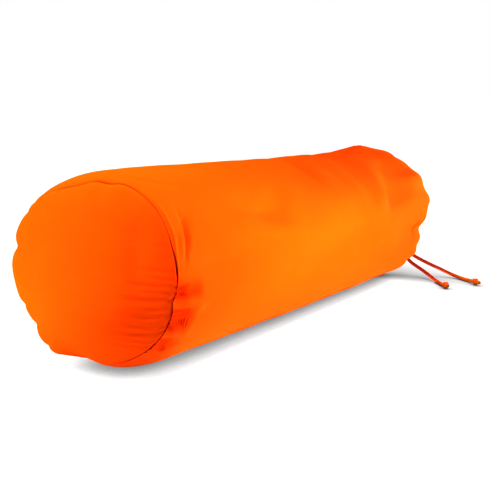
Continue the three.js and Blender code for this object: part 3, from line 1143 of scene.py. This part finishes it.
@dataclass(frozen=True)
class CottonFinish:
    """Plain-woven cotton, dyed orange: threads, slubs, a soft pile and a faint unevenness of the dye."""

    name: str = "orange cotton"
    drag: float = 0.0  # depth in metres of the fine lines that the right-hand seam drags across the panel
    light: tuple[float, float, float] = (0.93, 0.16, 0.001)
    deep: tuple[float, float, float] = (0.9, 0.13, 0.0008)
    seam: tuple[float, float, float] = (0.42, 0.012, 0.001)  # painted shade, where the cloth lies deep in the seam's groove
    thread: float = 0.0006  # metres from thread to thread
    thread_depth: float = 0.00012
    slub_length: float = 0.03
    slub_width: float = 0.0011
    slub_depth: float = 0.00022
    pile_grain: float = 70.0  # lumps of the pile to the metre
    pile_depth: float = 0.0005
    dye_patches: float = 9.0  # patches of the dye to the metre
    dye_share: float = 0.5
    slub_share: float = 0.9
    drag_grain: tuple[float, float, float] = (22.0, 230.0, 1.0)  # lines to the metre, along and across
    drag_slope: tuple[float, float] = (-9.0, -6.0)  # how the lines fade over the panel's map
    drag_start: float = 5.5
    roughness: float = 0.88
    gloss: float = 0.05
    sheen: float = 0.06
    sheen_roughness: float = 0.45

    def weave(self, n: Nodes, place: bpy.types.Node) -> bpy.types.NodeSocket:
        """Gives the height of the plain weave.

        Args:
            n: The material's nodes.
            place: The parts of the place on the cloth.

        Returns:
            The height, where each thread goes over every other one that it crosses.
        """
        turns = math.pi / self.thread
        across, along = (n.math("SINE", n.math("MULTIPLY", place.outputs[k], turns)) for k in (0, 1))
        over = n.math("MULTIPLY_ADD", n.math("MULTIPLY", across, along), 0.5, 0.5)
        warp = n.math("MULTIPLY", n.math("ABSOLUTE", across), over)
        weft = n.math("MULTIPLY", n.math("ABSOLUTE", along), n.math("SUBTRACT", 1.0, over))
        return n.math("MAXIMUM", warp, weft)

    def slubs(self, n: Nodes, at: bpy.types.NodeSocket) -> bpy.types.NodeSocket:
        """Gives the height of the threads' thick places, which run both ways.

        Args:
            n: The material's nodes.
            at: The place on the cloth.

        Returns:
            The height.
        """
        narrow, far = 1 / self.slub_width, 1 / self.slub_length
        scales = ((far, narrow, 1), (narrow, far, 1))
        both = [n.noise(n.stretched(at, scale), 1.0, 3.0) for scale in scales]
        return n.math("MULTIPLY", n.math("ADD", *both), 0.5)

    def make(self) -> bpy.types.Material:
        """Makes the cotton.

        Returns:
            Its material.
        """
        n = Nodes(self.name)
        at = n.add("UVMap", uv_map=CLOTH_MAP).outputs[0]
        split = n.add("SeparateXYZ", {0: at})
        slubs = self.slubs(n, at)
        place = n.add("TexCoord").outputs["Object"]
        dye = n.math("MULTIPLY", n.noise(place, self.dye_patches, 3.0), self.dye_share)
        shade = n.math("ADD", dye, n.math("MULTIPLY", slubs, self.slub_share))
        shade = n.math("SUBTRACT", shade, 0.2)
        painted_seam_shade = n.add("Attribute", attribute_name=PAINTED_SEAM_SHADE).outputs["Fac"]
        soft = n.bump(n.noise(place, self.pile_grain, 3.0), self.pile_depth)
        if self.drag:
            lines = n.noise(n.stretched(at, self.drag_grain), 1.0, 3.0)
            side = n.math("MULTIPLY_ADD", split.outputs[0], self.drag_slope[0], self.drag_start)
            side = n.math("MULTIPLY_ADD", split.outputs[1], self.drag_slope[1], side)
            side = n.math("MINIMUM", n.math("MAXIMUM", side, 0.0), 1.0)
            soft = n.bump(n.math("MULTIPLY", lines, side), self.drag, 1.0, soft)
        thick = n.bump(slubs, self.slub_depth, 1.0, soft)
        n.dress({
            # Deep in the seam's groove the colour turns to painted shade.
            "Base Color": n.between(painted_seam_shade, n.between(shade, self.deep, self.light), self.seam),
            "Normal": n.bump(self.weave(n, split), self.thread_depth, 0.8, thick),
            "Roughness": self.roughness,
            "Specular IOR Level": self.gloss,
            "Sheen Weight": self.sheen,
            "Sheen Roughness": self.sheen_roughness,
            "Sheen Tint": (*SHEEN_TINT, 1),
        })
        return n.material


@dataclass(frozen=True)
class CordFinish:
    """Round braided cotton cord, dyed a duller red than the cloth, with painted light paling its free
    ends out of the bolster's shade.
    """

    name: str = "braided cord"
    light: tuple[float, float, float] = (0.47, 0.105, 0.04)
    deep: tuple[float, float, float] = (0.39, 0.082, 0.035)
    # the painted light of the tails' free ends, away from the bolster's shade
    pale: tuple[float, float, float] = (0.66, 0.27, 0.03)
    pale_from: float = 0.13  # metres from the bolster's axis, where the painted light on the tails starts
    pale_over: float = 0.045
    fibres: float = 1400.0  # fibres to the metre
    fibre_depth: float = 0.00015
    patches: float = 120.0  # patches of the dye to the metre
    roughness: float = 0.8
    gloss: float = 0.06
    sheen: float = 0.04
    sheen_roughness: float = 0.4

    def make(self) -> bpy.types.Material:
        """Makes the cord's cotton.

        Returns:
            Its material.
        """
        n = Nodes(self.name)
        place = n.add("TexCoord").outputs["Object"]
        fibres = n.noise(place, self.fibres, 3.0)
        shade = n.math("MULTIPLY", n.math("ADD", fibres, n.noise(place, self.patches, 2.0)), 0.5)
        aside = n.add("SeparateXYZ", {0: place}).outputs[1]
        # Painted light: the tails turn paler away from the bolster, out of its shade.
        painted_light_share = n.rise(aside, -self.pale_from, -1 / self.pale_over)
        n.dress({
            "Base Color": n.between(painted_light_share, n.between(shade, self.deep, self.light), self.pale),
            "Normal": n.bump(fibres, self.fibre_depth),
            "Roughness": self.roughness,
            "Specular IOR Level": self.gloss,
            "Sheen Weight": self.sheen,
            "Sheen Roughness": self.sheen_roughness,
            "Sheen Tint": (*SHEEN_TINT, 1),
        })
        return n.material


@dataclass
class CoverTube:
    """The filled tube of cotton: its roll behind the seam, its wall and its drawn end."""

    form: BolsterForm
    columns: int = 360
    tuck: float = 2.4  # how far its edge turns into the seam
    tuck_step: float = 0.8
    lip: float = 8.0  # the cloth beside the seam whose rings lie closest together
    lip_rings: int = 12
    bands: tuple[tuple[float, float], ...] = (  # where each band of rings ends, and the rings' step
        (46, 0.65),
        (58, 1.2),
        (100, 3.2),
        (END_RINGS[0].x, 6.7),
    )
    end_rings: int = 84
    outer_share: float = 0.45  # of the end's rings, before the hem
    hem_share: float = 0.28  # of the end's rings, along the hem
    hem_band: float = 8.0  # half the width of the hem's own band of rings
    back_step: float = 0.2  # the hidden face behind the panel, by share of the radius
    rumple: float = 0.5  # the cloth's general unevenness
    rumple_edge: tuple[float, float] = (10, 60)  # where along the cloth it rises
    hem_line: float = 756.0  # where along the cloth the hem of the cord's channel is stitched
    hem_height: float = 0.6
    channel: float = 16.0  # how far past the hem line the cord lies in its channel
    channel_height: float = 1.3
    channel_width: float = 4.5
    stitches: int = 76
    stitch_depth: float = 0.9
    stitch_width: float = 0.9
    long_seam: float = 238.0  # the turn of the seam that closes the tube, on the side that isn't seen
    long_seam_depth: float = 0.7
    long_seam_width: float = 1.3

    def end_profile(self) -> np.ndarray:
        """Gives the rings of the drawn end, closer together beside the hem's stitches.

        Returns:
            One row for each ring: x, reach, pleat and facing, and its distance along the cloth.
        """
        hem_at = self.hem_line - END_RINGS[0].x
        start, end = hem_at - self.hem_band, hem_at + self.hem_band
        table = np.array(END_RINGS, float)
        steps = np.hypot(np.diff(table[:, 0]), np.diff(table[:, 1]) * self.form.mean_radius)
        along = np.r_[0, np.cumsum(steps)]
        outer, hem = round(self.outer_share * self.end_rings), round(self.hem_share * self.end_rings)
        at = np.concatenate([
            np.linspace(0, start, outer, endpoint=False),
            np.linspace(start, end, hem, endpoint=False),
            np.linspace(end, along[-1], self.end_rings - outer - hem),
        ])
        rows = [curve_through(along, table[:, k], at) for k in range(4)]
        return np.stack([*rows, at + table[0, 0]], -1)

    def stations(self) -> np.ndarray:
        """Gives the rings from the cloth's edge in the seam to the far shoulder.

        Returns:
            The x of each ring.
        """
        edge = self.form.cloth + self.form.gap
        rows = [rows_between(edge - self.tuck, edge, self.tuck_step)]
        rows.append(edge + np.linspace(0, 1, self.lip_rings, endpoint=False) ** 2 * self.lip)
        starts = (edge + self.lip, *(end for end, _ in self.bands))
        rows += [rows_between(start, end, step) for start, (end, step) in zip(starts, self.bands)]
        return np.concatenate(rows)

    def make(self, cotton: bpy.types.Material) -> bpy.types.Object:
        """Builds and dresses the tube.

        Args:
            cotton: Its material.

        Returns:
            The piece.
        """
        form = self.form
        turn = np.arange(self.columns) * (360 / self.columns)
        x = self.stations()
        wall = form.tube(x[:, None], turn[None, :])
        profile = self.end_profile()
        end = form.end(*(profile[:, k, None] for k in range(4)), turn[None, :])
        points = np.concatenate([wall, end])
        along = np.concatenate([x, profile[:, 4]])
        points = self.with_relief(points, along, turn)
        back = self.hidden_face(points[0])
        points = np.concatenate([back, points])
        along = np.concatenate([np.full(len(back), x[0]), along])
        around = np.linspace(0, form.girth, self.columns + 1)
        place = np.stack(np.broadcast_arrays(around[None, :], along[:, None]), -1) * MM
        poles = (in_frame(points[0].mean(0)), in_frame(points[-1].mean(0)))
        # Painted shade of the seam's groove, by distance from the seam along the cloth.
        painted_seam_shade = form.seam_shade(along[:, None] - form.cloth - form.gap, turn[None, :])
        piece = skin("bolster_tube", in_frame(points), place, poles, painted_seam_shade)
        piece.data.materials.append(cotton)
        return piece

    def with_relief(self, points: np.ndarray, along: np.ndarray, turn: np.ndarray) -> np.ndarray:
        """Adds the fine relief to the tube's points.

        Args:
            points: Rings by columns by 3.
            along: Each ring's distance along the cloth.
            turn: Each column's angle.

        Returns:
            The moved points.
        """
        form, s, turn = self.form, along[:, None], turn[None, :]
        soft = Waves(seed=3, count=14, shortest=60, longest=220, girth=form.girth)
        lift = self.rumple * soft.at(s, turn) * smooth_step(s, *self.rumple_edge)
        lift = lift + form.crimp_lift(s, turn)
        lift = lift + form.fold_lift(s, turn, CREASES) + form.swell_lift(s, turn)
        lift = lift + self.sewing_lift(s, turn)
        moved = points + outward(points) * lift[..., None]
        moved[..., 2] = np.maximum(moved[..., 2], self.form.floor)
        return moved

    def sewing_lift(self, along: np.ndarray, turn: np.ndarray) -> np.ndarray:
        """Gives the relief of the stitched hem with the cord in it, and of the lengthwise seam.

        Args:
            along: Distances along the cloth.
            turn: Angles round the bolster.

        Returns:
            The relief's height at each place.
        """
        past = along - self.hem_line
        stitch = 0.6 + 0.4 * np.cos(np.radians(turn) * self.stitches)
        hem = self.hem_height * smooth_step(past, 0.8, 2.6)
        hem = hem + self.channel_height * bell(past - self.channel, self.channel_width)
        seam = bell(turn_between(turn, self.long_seam) * self.form.girth / 360, self.long_seam_width)
        seam = seam * between_edges(along, (5, 12), (self.hem_line - 6, self.hem_line))
        stitch = stitch * bell(past, self.stitch_width)
        return hem - self.stitch_depth * stitch - self.long_seam_depth * seam

    def hidden_face(self, rim: np.ndarray) -> np.ndarray:
        """Closes the tube behind the round panel.

        Args:
            rim: The tube's first ring.

        Returns:
            Rings from the middle to the rim.
        """
        middle = rim.mean(0)
        shares = np.arange(self.back_step, 1, self.back_step)
        return middle + (rim - middle) * shares[:, None, None]


@dataclass
class EndPanel:
    """The round panel of cotton, sewn into the near end without piping."""

    form: BolsterForm
    columns: int = 720
    rings: int = 84
    hub: float = 0.02  # where its first ring lies, before the rings are crowded towards the seam
    tuck: float = 0.02  # how far its edge turns into the seam, as a share of the radius
    rumple: float = 0.35  # the cloth's general unevenness
    rumple_rim: float = 0.1  # the share of its radius beside the seam that it leaves even
    swell_rim: float = 0.4  # the share of its radius over which the swells rise from the seam
    crease_deepest: float = 0.35  # the share of a crease's length where it is deepest
    back_stride: int = 6  # its hidden face has one ring for this many of the front's
    map_shift: float = 0.5  # metres, keeps its place on the cloth above zero

    def crease_lift(self, share: np.ndarray, turn: np.ndarray) -> np.ndarray:
        """Gives the height of the creases that run in from the seam.

        Args:
            share: Shares of the panel's radius.
            turn: Angles round the bolster.

        Returns:
            The height at each place.
        """
        radius = self.form.mean_radius
        lift = np.zeros(np.broadcast(share, turn).shape)
        for crease in PANEL_CREASES:
            t = np.clip((crease.share - share) / (crease.share - crease.to_share), 0, 1)
            middle = mix(crease.turn, crease.to_turn, t)
            off = np.radians(turn_between(turn, middle)) * radius * share
            deepens = smooth_step(t, 0, self.crease_deepest)
            fade = mix(0.5, 1, deepens) * (1 - smooth_step(t, self.crease_deepest, 1))
            lift += crease.lift * fade * bell(off, crease.width * (1 + t))
        return lift

    def swell_lift(self, y: np.ndarray, up: np.ndarray) -> np.ndarray:
        """Gives how far the swells lift the panel.

        Args:
            y: Places along the level.
            up: Heights over the seam's middle.

        Returns:
            The lift at each place.
        """
        lift = np.zeros(y.shape)
        for swell in PANEL_SWELLS:
            lift += patch_lift(y - swell.y, up - swell.up, swell)
        return lift

    def make(self, cotton: bpy.types.Material) -> bpy.types.Object:
        """Builds and dresses the panel.

        Args:
            cotton: Its material.

        Returns:
            The piece.
        """
        form = self.form
        turn = np.arange(self.columns) * (360 / self.columns)
        even = np.linspace(self.hub, 1, self.rings)
        share = np.r_[1 - (1 - even) ** 2, 1 + self.tuck * np.array([0.25, 0.5, 0.75, 1])]
        front = form.panel(share[:, None], turn[None, :])
        inward = 1 - share[:, None]
        lift = self.crease_lift(share[:, None], turn[None, :])
        soft = Waves(seed=11, count=12, shortest=50, longest=160, girth=form.girth)
        swell = self.swell_lift(front[..., 1], front[..., 2] - form.seam_middle)
        lift = lift + self.rumple * soft.at(front[..., 1], 0.0) * smooth_step(inward, 0, self.rumple_rim)
        lift = lift + swell * smooth_step(inward, 0, self.swell_rim)
        front = front + outward(front) * lift[..., None]
        back = front[::-self.back_stride] + np.array([form.cloth, 0, 0])
        points = np.concatenate([front, back])
        flat = np.concatenate([points, points[:, :1]], 1)[..., 1:] * MM
        flat[..., 0] += self.map_shift
        poles = (in_frame(front[0].mean(0)), in_frame(back[-1].mean(0)))
        # Painted shade of the seam's groove on the panel, by distance from its rim.
        off = 2 * form.mean_radius * (1 - np.concatenate([share, share[::-self.back_stride]]))
        painted_seam_shade = form.seam_shade(off[:, None], turn[None, :])
        piece = skin("round_panel", in_frame(points), flat, poles, painted_seam_shade)
        piece.data.materials.append(cotton)
        return piece


def smooth_route(points: Sequence[Sequence[float]], step: float) -> np.ndarray:
    """Runs a smooth curve through a route's points.

    Args:
        points: The route's points.
        step: The distance between the curve's own points.

    Returns:
        Evenly spaced points on the curve.
    """
    route = np.array(points, float)
    route = np.vstack([2 * route[0] - route[1], route, 2 * route[-1] - route[-2]])
    dense = []
    for p0, p1, p2, p3 in zip(route, route[1:], route[2:], route[3:]):
        d0, d1, d2 = (math.sqrt(np.linalg.norm(b - a)) for a, b in ((p0, p1), (p1, p2), (p2, p3)))
        leave = ((p1 - p0) / d0 - (p2 - p0) / (d0 + d1) + (p2 - p1) / d1) * d1
        arrive = ((p2 - p1) / d1 - (p3 - p1) / (d1 + d2) + (p3 - p2) / d2) * d1
        t = np.linspace(0, 1, ROUTE_STEPS, endpoint=False)[:, None]
        cubic = 2 * p1 - 2 * p2 + leave + arrive
        square = -3 * p1 + 3 * p2 - 2 * leave - arrive
        dense.append(p1 + leave * t + square * t**2 + cubic * t**3)
    curve = np.vstack([*dense, route[-2:-1]])
    along = np.r_[0, np.cumsum(np.linalg.norm(np.diff(curve, axis=0), axis=1))]
    even = np.linspace(0, along[-1], max(round(along[-1] / step), 2) + 1)
    return np.stack([np.interp(even, along, curve[:, k]) for k in range(curve.shape[1])], -1)


def frames_along(path: np.ndarray) -> tuple[np.ndarray, np.ndarray]:
    """Gives two sideways directions at each point of a path, which turn as little as they can.

    Args:
        path: Points on the path.

    Returns:
        The two directions at each point.
    """
    heading = np.gradient(path, axis=0)
    heading /= np.linalg.norm(heading, axis=1, keepdims=True)
    side = np.cross(heading[0], (0.0, 0.0, 1.0))
    if np.linalg.norm(side) < 1e-3:
        side = np.cross(heading[0], (0.0, 1.0, 0.0))
    sides = []
    for ahead in heading:
        side = side - ahead * np.dot(side, ahead)
        side = side / np.linalg.norm(side)
        sides.append(side)
    first = np.array(sides)
    return first, np.cross(heading, first)


@dataclass(frozen=True)
class Braid:
    """A round braid: strands that wind both ways round the cord."""

    strands: int = 8  # in each direction
    lay: float = 13.0  # length of one full wind, in millimetres
    relief: float = 0.2
    level: float = 0.85  # about the mean of the strands' wave

    def radius(self, along: np.ndarray, angle: np.ndarray, mean: np.ndarray) -> np.ndarray:
        """Gives the cord's radius.

        Args:
            along: Distances along the cord.
            angle: Angles round it.
            mean: The mean radius there.

        Returns:
            The radius with the strands' relief.
        """
        wind = 2 * math.pi * along / self.lay
        one = np.cos(self.strands / 2 * (angle + wind))
        other = np.cos(self.strands / 2 * (angle - wind))
        return mean + self.relief * (np.maximum(np.abs(one), np.abs(other)) - self.level)


@dataclass
class CordTube:
    """A length of braided cord along a path, closed at both ends."""

    name: str
    path: np.ndarray
    radius: np.ndarray
    braid: Braid = Braid()
    sides: int = 32

    def make(self, material: bpy.types.Material) -> bpy.types.Object:
        """Builds and dresses the cord.

        Args:
            material: Its material.

        Returns:
            The piece, around a path in millimetres.
        """
        first, second = frames_along(self.path)
        angle = np.arange(self.sides) * (2 * math.pi / self.sides)
        along = np.r_[0, np.cumsum(np.linalg.norm(np.diff(self.path, axis=0), axis=1))]
        radius = self.braid.radius(along[:, None], angle[None, :], self.radius[:, None])
        cosine, sine = np.cos(angle)[None, :, None], np.sin(angle)[None, :, None]
        ring = first[:, None] * cosine + second[:, None] * sine
        points = self.path[:, None] + ring * radius[..., None]
        around = np.linspace(0, 2 * math.pi * self.radius.mean(), self.sides + 1)
        place = np.stack(np.broadcast_arrays(around[None, :], along[:, None]), -1)
        poles = (in_frame(self.path[0]), in_frame(self.path[-1]))
        piece = skin(self.name, in_frame(points), place * MM, poles)
        piece.data.materials.append(material)
        return piece


@dataclass
class StopperKnot:
    """An overhand knot that is pulled tight near the end of a tail, and its cut end."""

    name: str
    route: Sequence[Sequence[float]]
    cut_end: float
    gap: float = 0.35
    neck: float = 6.6  # from where the strand enters to the knot's middle
    loop: float = 3.0  # mean radius of the strand's two rounds
    twist: float = 1.7
    strand: float = 1.95  # radius of the strand where the knot is pulled tight
    cord_radius: float = 2.75
    sides: int = 24
    step: float = 0.4
    strand_steps: int = 64  # steps of the strand once through the knot
    left_out: int = 3  # steps at both ends, where the cord enters and leaves

    def heading(self) -> np.ndarray:
        """Returns the direction in which the cord runs into the knot."""
        end, before = np.array(self.route[-1], float), np.array(self.route[-2], float)
        return (end - before) / np.linalg.norm(end - before)

    def path(self) -> np.ndarray:
        """Gives the strand's path through the knot, with the knot's middle at zero.

        Returns:
            Points in millimetres.
        """
        t = np.linspace(0, 2 * math.pi, self.strand_steps)[self.left_out:-self.left_out]
        radius = self.loop + self.twist * np.cos(3 * t)
        knot = np.stack([radius * np.sin(2 * t), self.twist * np.sin(3 * t), radius * np.cos(2 * t)], -1)
        enter = np.array([[-self.neck, 0, 0], [-self.neck * 0.8, 0, 0.4]])
        leave = np.array([[self.neck * 0.8, 0, 0.2], [self.neck + self.cut_end - 2, 0, -0.6]])
        return smooth_route(np.vstack([enter, knot, leave]), self.step)

    def make(self, material: bpy.types.Material) -> bpy.types.Object:
        """Builds and dresses the knot.

        Args:
            material: Its material.

        Returns:
            The piece.
        """
        ahead = self.heading()
        side = np.cross((0.0, 0.0, 1.0), ahead)
        side /= np.linalg.norm(side)
        up = np.cross(ahead, side)
        middle = np.array(self.route[-1], float) + ahead * (self.neck + self.gap)
        own = self.path()
        path = middle + own @ np.stack([ahead, side, up])
        away = np.abs(own[:, 0]) - self.loop
        radius = mix(self.strand, self.cord_radius, smooth_step(away, 0, self.neck * 0.5))
        return CordTube(self.name, path, radius, sides=self.sides).make(material)


@dataclass
class CordTail:
    """One free end of the drawcord, from the mouth to its knot."""

    letter: str
    route: Sequence[Sequence[float]]
    cut_end: float
    diameter: float = 5.5
    step: float = 0.45
    declared: int = 4  # one point for this many of the path's points

    def make(self, material: bpy.types.Material) -> list[bpy.types.Object]:
        """Args:
            material: The cord's material.

        Returns:
            The tail and the knot.
        """
        path = smooth_route(self.route, self.step)
        radius = np.full(len(path), self.diameter / 2)
        tail = CordTube(f"cord_tail_{self.letter}", path, radius).make(material)
        knot = StopperKnot(f"cord_knot_{self.letter}", self.route, self.cut_end).make(material)
        for piece, node in ((tail, f"tail_{self.letter}"), (knot, f"knot_{self.letter}")):
            stand_for(piece, node)
        centre = in_frame(path)
        return [tail, knot]


class FarLight(NamedTuple):
    """A broad light from far away: its compass direction and height in degrees, and its strength."""

    name: str
    azimuth: float
    height: float
    strength: float


class SoftBox(NamedTuple):
    """A soft box: its place, the place it faces, its width and depth, and its power in watts."""

    name: str
    place: tuple[float, float, float]
    aim: tuple[float, float, float]
    width: float
    depth: float
    power: float


@dataclass
class Studio:
    """A pale floor, a white surround, broad soft lights and the camera."""

    eye: tuple[float, float, float] = (-0.8885, -0.5720, 0.2659)
    yaw: float = 34.31
    pitch: float = -9.08
    lens: float = 54.76
    floor_size: float = 8.0
    floor_colour: tuple[float, float, float] = (0.02, 0.02, 0.02)
    floor_glow: float = 0.3  # the floor's own light everywhere, as on a light table
    floor_open_glow: float = 3.0  # its further light where nothing stands over it
    floor_most_glow: float = 1.05
    shade_reach: float = 0.6  # how far away a piece still shades the floor
    cord_shade: float = 1.1  # how strongly the cords shade the floor close by them
    cord_shade_reach: float = 0.035
    cord_shade_side: float = -0.125  # the y beyond which only the cords lie on the floor
    cord_shade_rise: float = 100.0  # how fast their shade sets in there
    end_shade: float = 0.9  # how strongly the drawn end shades the floor it hangs over
    end_shade_reach: float = 0.15
    end_shade_from: float = 0.31  # the x beyond which the drawn end hangs over the floor
    end_shade_rise: float = 20.0
    darkest: float = 0.25  # the least share of its glow that the floor keeps in a painted shadow
    far_lights: tuple[FarLight, ...] = (
        FarLight("light from the right", -30, 30, 1.65),
        FarLight("light overhead", 0, 89, 1.2),
    )
    far_spread: float = 45.0
    boxes: tuple[SoftBox, ...] = (
        SoftBox("box over the panel", (-0.4, 0, 0.8), (-0.36, 0, 0.1), 0.45, 0.45, 8.2),
        SoftBox("box left of the panel", (-0.7, 0.25, 0.08), (-0.36, 0, 0.1), 0.45, 0.45, 4.0),
        SoftBox("box by the drawn end", (0.75, -0.4, 0.2), (0.35, 0, 0.1), 0.45, 0.45, 7.0),
        SoftBox("card on the floor", (-0.05, -0.5, 0.004), (-0.05, -0.5, 1.0), 0.45, 0.45, 9.3),
        SoftBox("box behind the tube", (0.1, 0.9, 0.3), (0.05, 0, 0.1), 0.8, 0.5, 4.0),
        SoftBox("strip under the tube", (0.03, -0.125, 0.003), (0.03, -0.125, 1.0), 0.72, 0.03, 0.2),
        SoftBox("strip by the contact", (0.03, -0.08, 0.002), (0.03, -0.08, 1.0), 0.66, 0.02, 0.11),
        SoftBox("strip left of the panel", (-0.45, 0.15, 0.003), (-0.45, 0.15, 1.0), 0.1, 0.15, 0.24),
        SoftBox("strip before the panel", (-0.45, 0, 0.003), (-0.45, 0, 1.0), 0.1, 0.2, 0.05),
    )

    def make_camera(self) -> None:
        """Sets up the camera."""
        camera = link("camera", bpy.data.cameras.new("camera"))
        camera.location = self.eye
        camera.rotation_euler = (math.radians(90 + self.pitch), 0, math.radians(self.yaw - 90))
        camera.data.lens = self.lens
        camera.data.sensor_width = 36
        camera.data.sensor_fit = "HORIZONTAL"
        bpy.context.scene.camera = camera

    def make_floor(self) -> None:
        """Lays the floor, whose glow holds painted shadows under the bolster, its drawn end and the
        cords.
        """
        half = self.floor_size / 2
        corners = [(-half, -half, 0), (half, -half, 0), (half, half, 0), (-half, half, 0)]
        mesh = bpy.data.meshes.new("floor")
        mesh.from_pydata(corners, [], [(0, 1, 2, 3)])
        floor = link("floor", mesh)
        n = Nodes("pale floor")
        # Painted shadow: the glow dims where pieces stand close over the floor.
        open_sky = n.open_sky(self.shade_reach)
        glow = n.math("MULTIPLY_ADD", open_sky, self.floor_open_glow, self.floor_glow)
        glow = n.math("MINIMUM", glow, self.floor_most_glow)
        place = n.add("SeparateXYZ", {0: n.add("TexCoord").outputs["Object"]}).outputs
        side = n.rise(place[1], self.cord_shade_side, -self.cord_shade_rise, self.cord_shade)
        end = n.rise(place[0], self.end_shade_from, self.end_shade_rise, self.end_shade)
        hidden_near = n.math("SUBTRACT", 1.0, n.open_sky(self.cord_shade_reach))
        hidden_end = n.math("SUBTRACT", 1.0, n.open_sky(self.end_shade_reach))
        by_cords, by_end = n.math("MULTIPLY", hidden_near, side), n.math("MULTIPLY", hidden_end, end)
        kept = n.math("SUBTRACT", 1.0, n.math("MAXIMUM", by_cords, by_end))
        glow = n.math("MULTIPLY", glow, n.math("MAXIMUM", kept, self.darkest))
        n.dress({
            "Base Color": (*self.floor_colour, 1),
            "Roughness": 0.9,
            "Specular IOR Level": 0.0,
            "Emission Color": (1, 1, 1, 1),
            "Emission Strength": glow,
        })
        mesh.materials.append(n.material)

    def hang(self, name: str, kind: str, place: Vector, aim: Vector, energy: float) -> bpy.types.Light:
        """Hangs one light, which the camera doesn't see.

        Args:
            name: Its name.
            kind: Blender's kind of light.
            place: Where it hangs.
            aim: The place that it faces.
            energy: Its strength.

        Returns:
            The light's data.
        """
        lamp = bpy.data.lights.new(name, kind)
        lamp.energy = energy
        rig = link(name, lamp)
        rig.location = place
        rig.rotation_euler = (place - aim).to_track_quat("Z", "Y").to_euler()
        rig.visible_camera = False
        return lamp

    def make_light(self) -> None:
        """Hangs the lights and sets the surround and the exposure."""
        for light in self.far_lights:
            azimuth, height = math.radians(light.azimuth), math.radians(light.height)
            level = math.cos(height)
            toward = Vector((math.cos(azimuth) * level, math.sin(azimuth) * level, math.sin(height)))
            lamp = self.hang(light.name, "SUN", toward, Vector(), light.strength)
            lamp.angle = math.radians(self.far_spread)
        for box in self.boxes:
            lamp = self.hang(box.name, "AREA", Vector(box.place), Vector(box.aim), box.power)
            lamp.shape = "RECTANGLE"
            lamp.size = box.width
            lamp.size_y = box.depth
        world = bpy.data.worlds.new("surround")
        world.use_nodes = True
        surround = world.node_tree.nodes["Background"]
        surround.inputs["Color"].default_value = (1, 1, 1, 1)
        surround.inputs["Strength"].default_value = 1.0
        world.cycles_visibility.diffuse = False
        world.cycles_visibility.glossy = False
        scene = bpy.context.scene
        scene.world = world
        scene.view_settings.view_transform = "Standard"
        scene.view_settings.exposure = 0.0
        scene.view_settings.gamma = 0.57


def main() -> None:
    """Builds the bolster and its studio."""
    logging.basicConfig(level=logging.INFO, format="%(name)s: %(message)s")
    studio = Studio()
    studio.make_camera()
    cord = CordFinish().make()
    pieces = []
    for letter, route, cut_end in (("a", TAIL_A, 4.0), ("b", TAIL_B, 9.0)):
        pieces += CordTail(letter, route, cut_end).make(cord)
    form = BolsterForm()
    tube = CoverTube(form).make(CottonFinish().make())
    panel = EndPanel(form).make(CottonFinish("orange cotton of the panel", drag=0.0006).make())
    for piece, node in ((tube, "cover_tube"), (panel, "end_panel")):
        stand_for(piece, node)
        pieces.append(piece)
    studio.make_floor()
    studio.make_light()
    for piece in pieces:
        log.info("%s: %d faces", piece.name, len(piece.data.polygons))


if __name__ == "__main__":
    main()
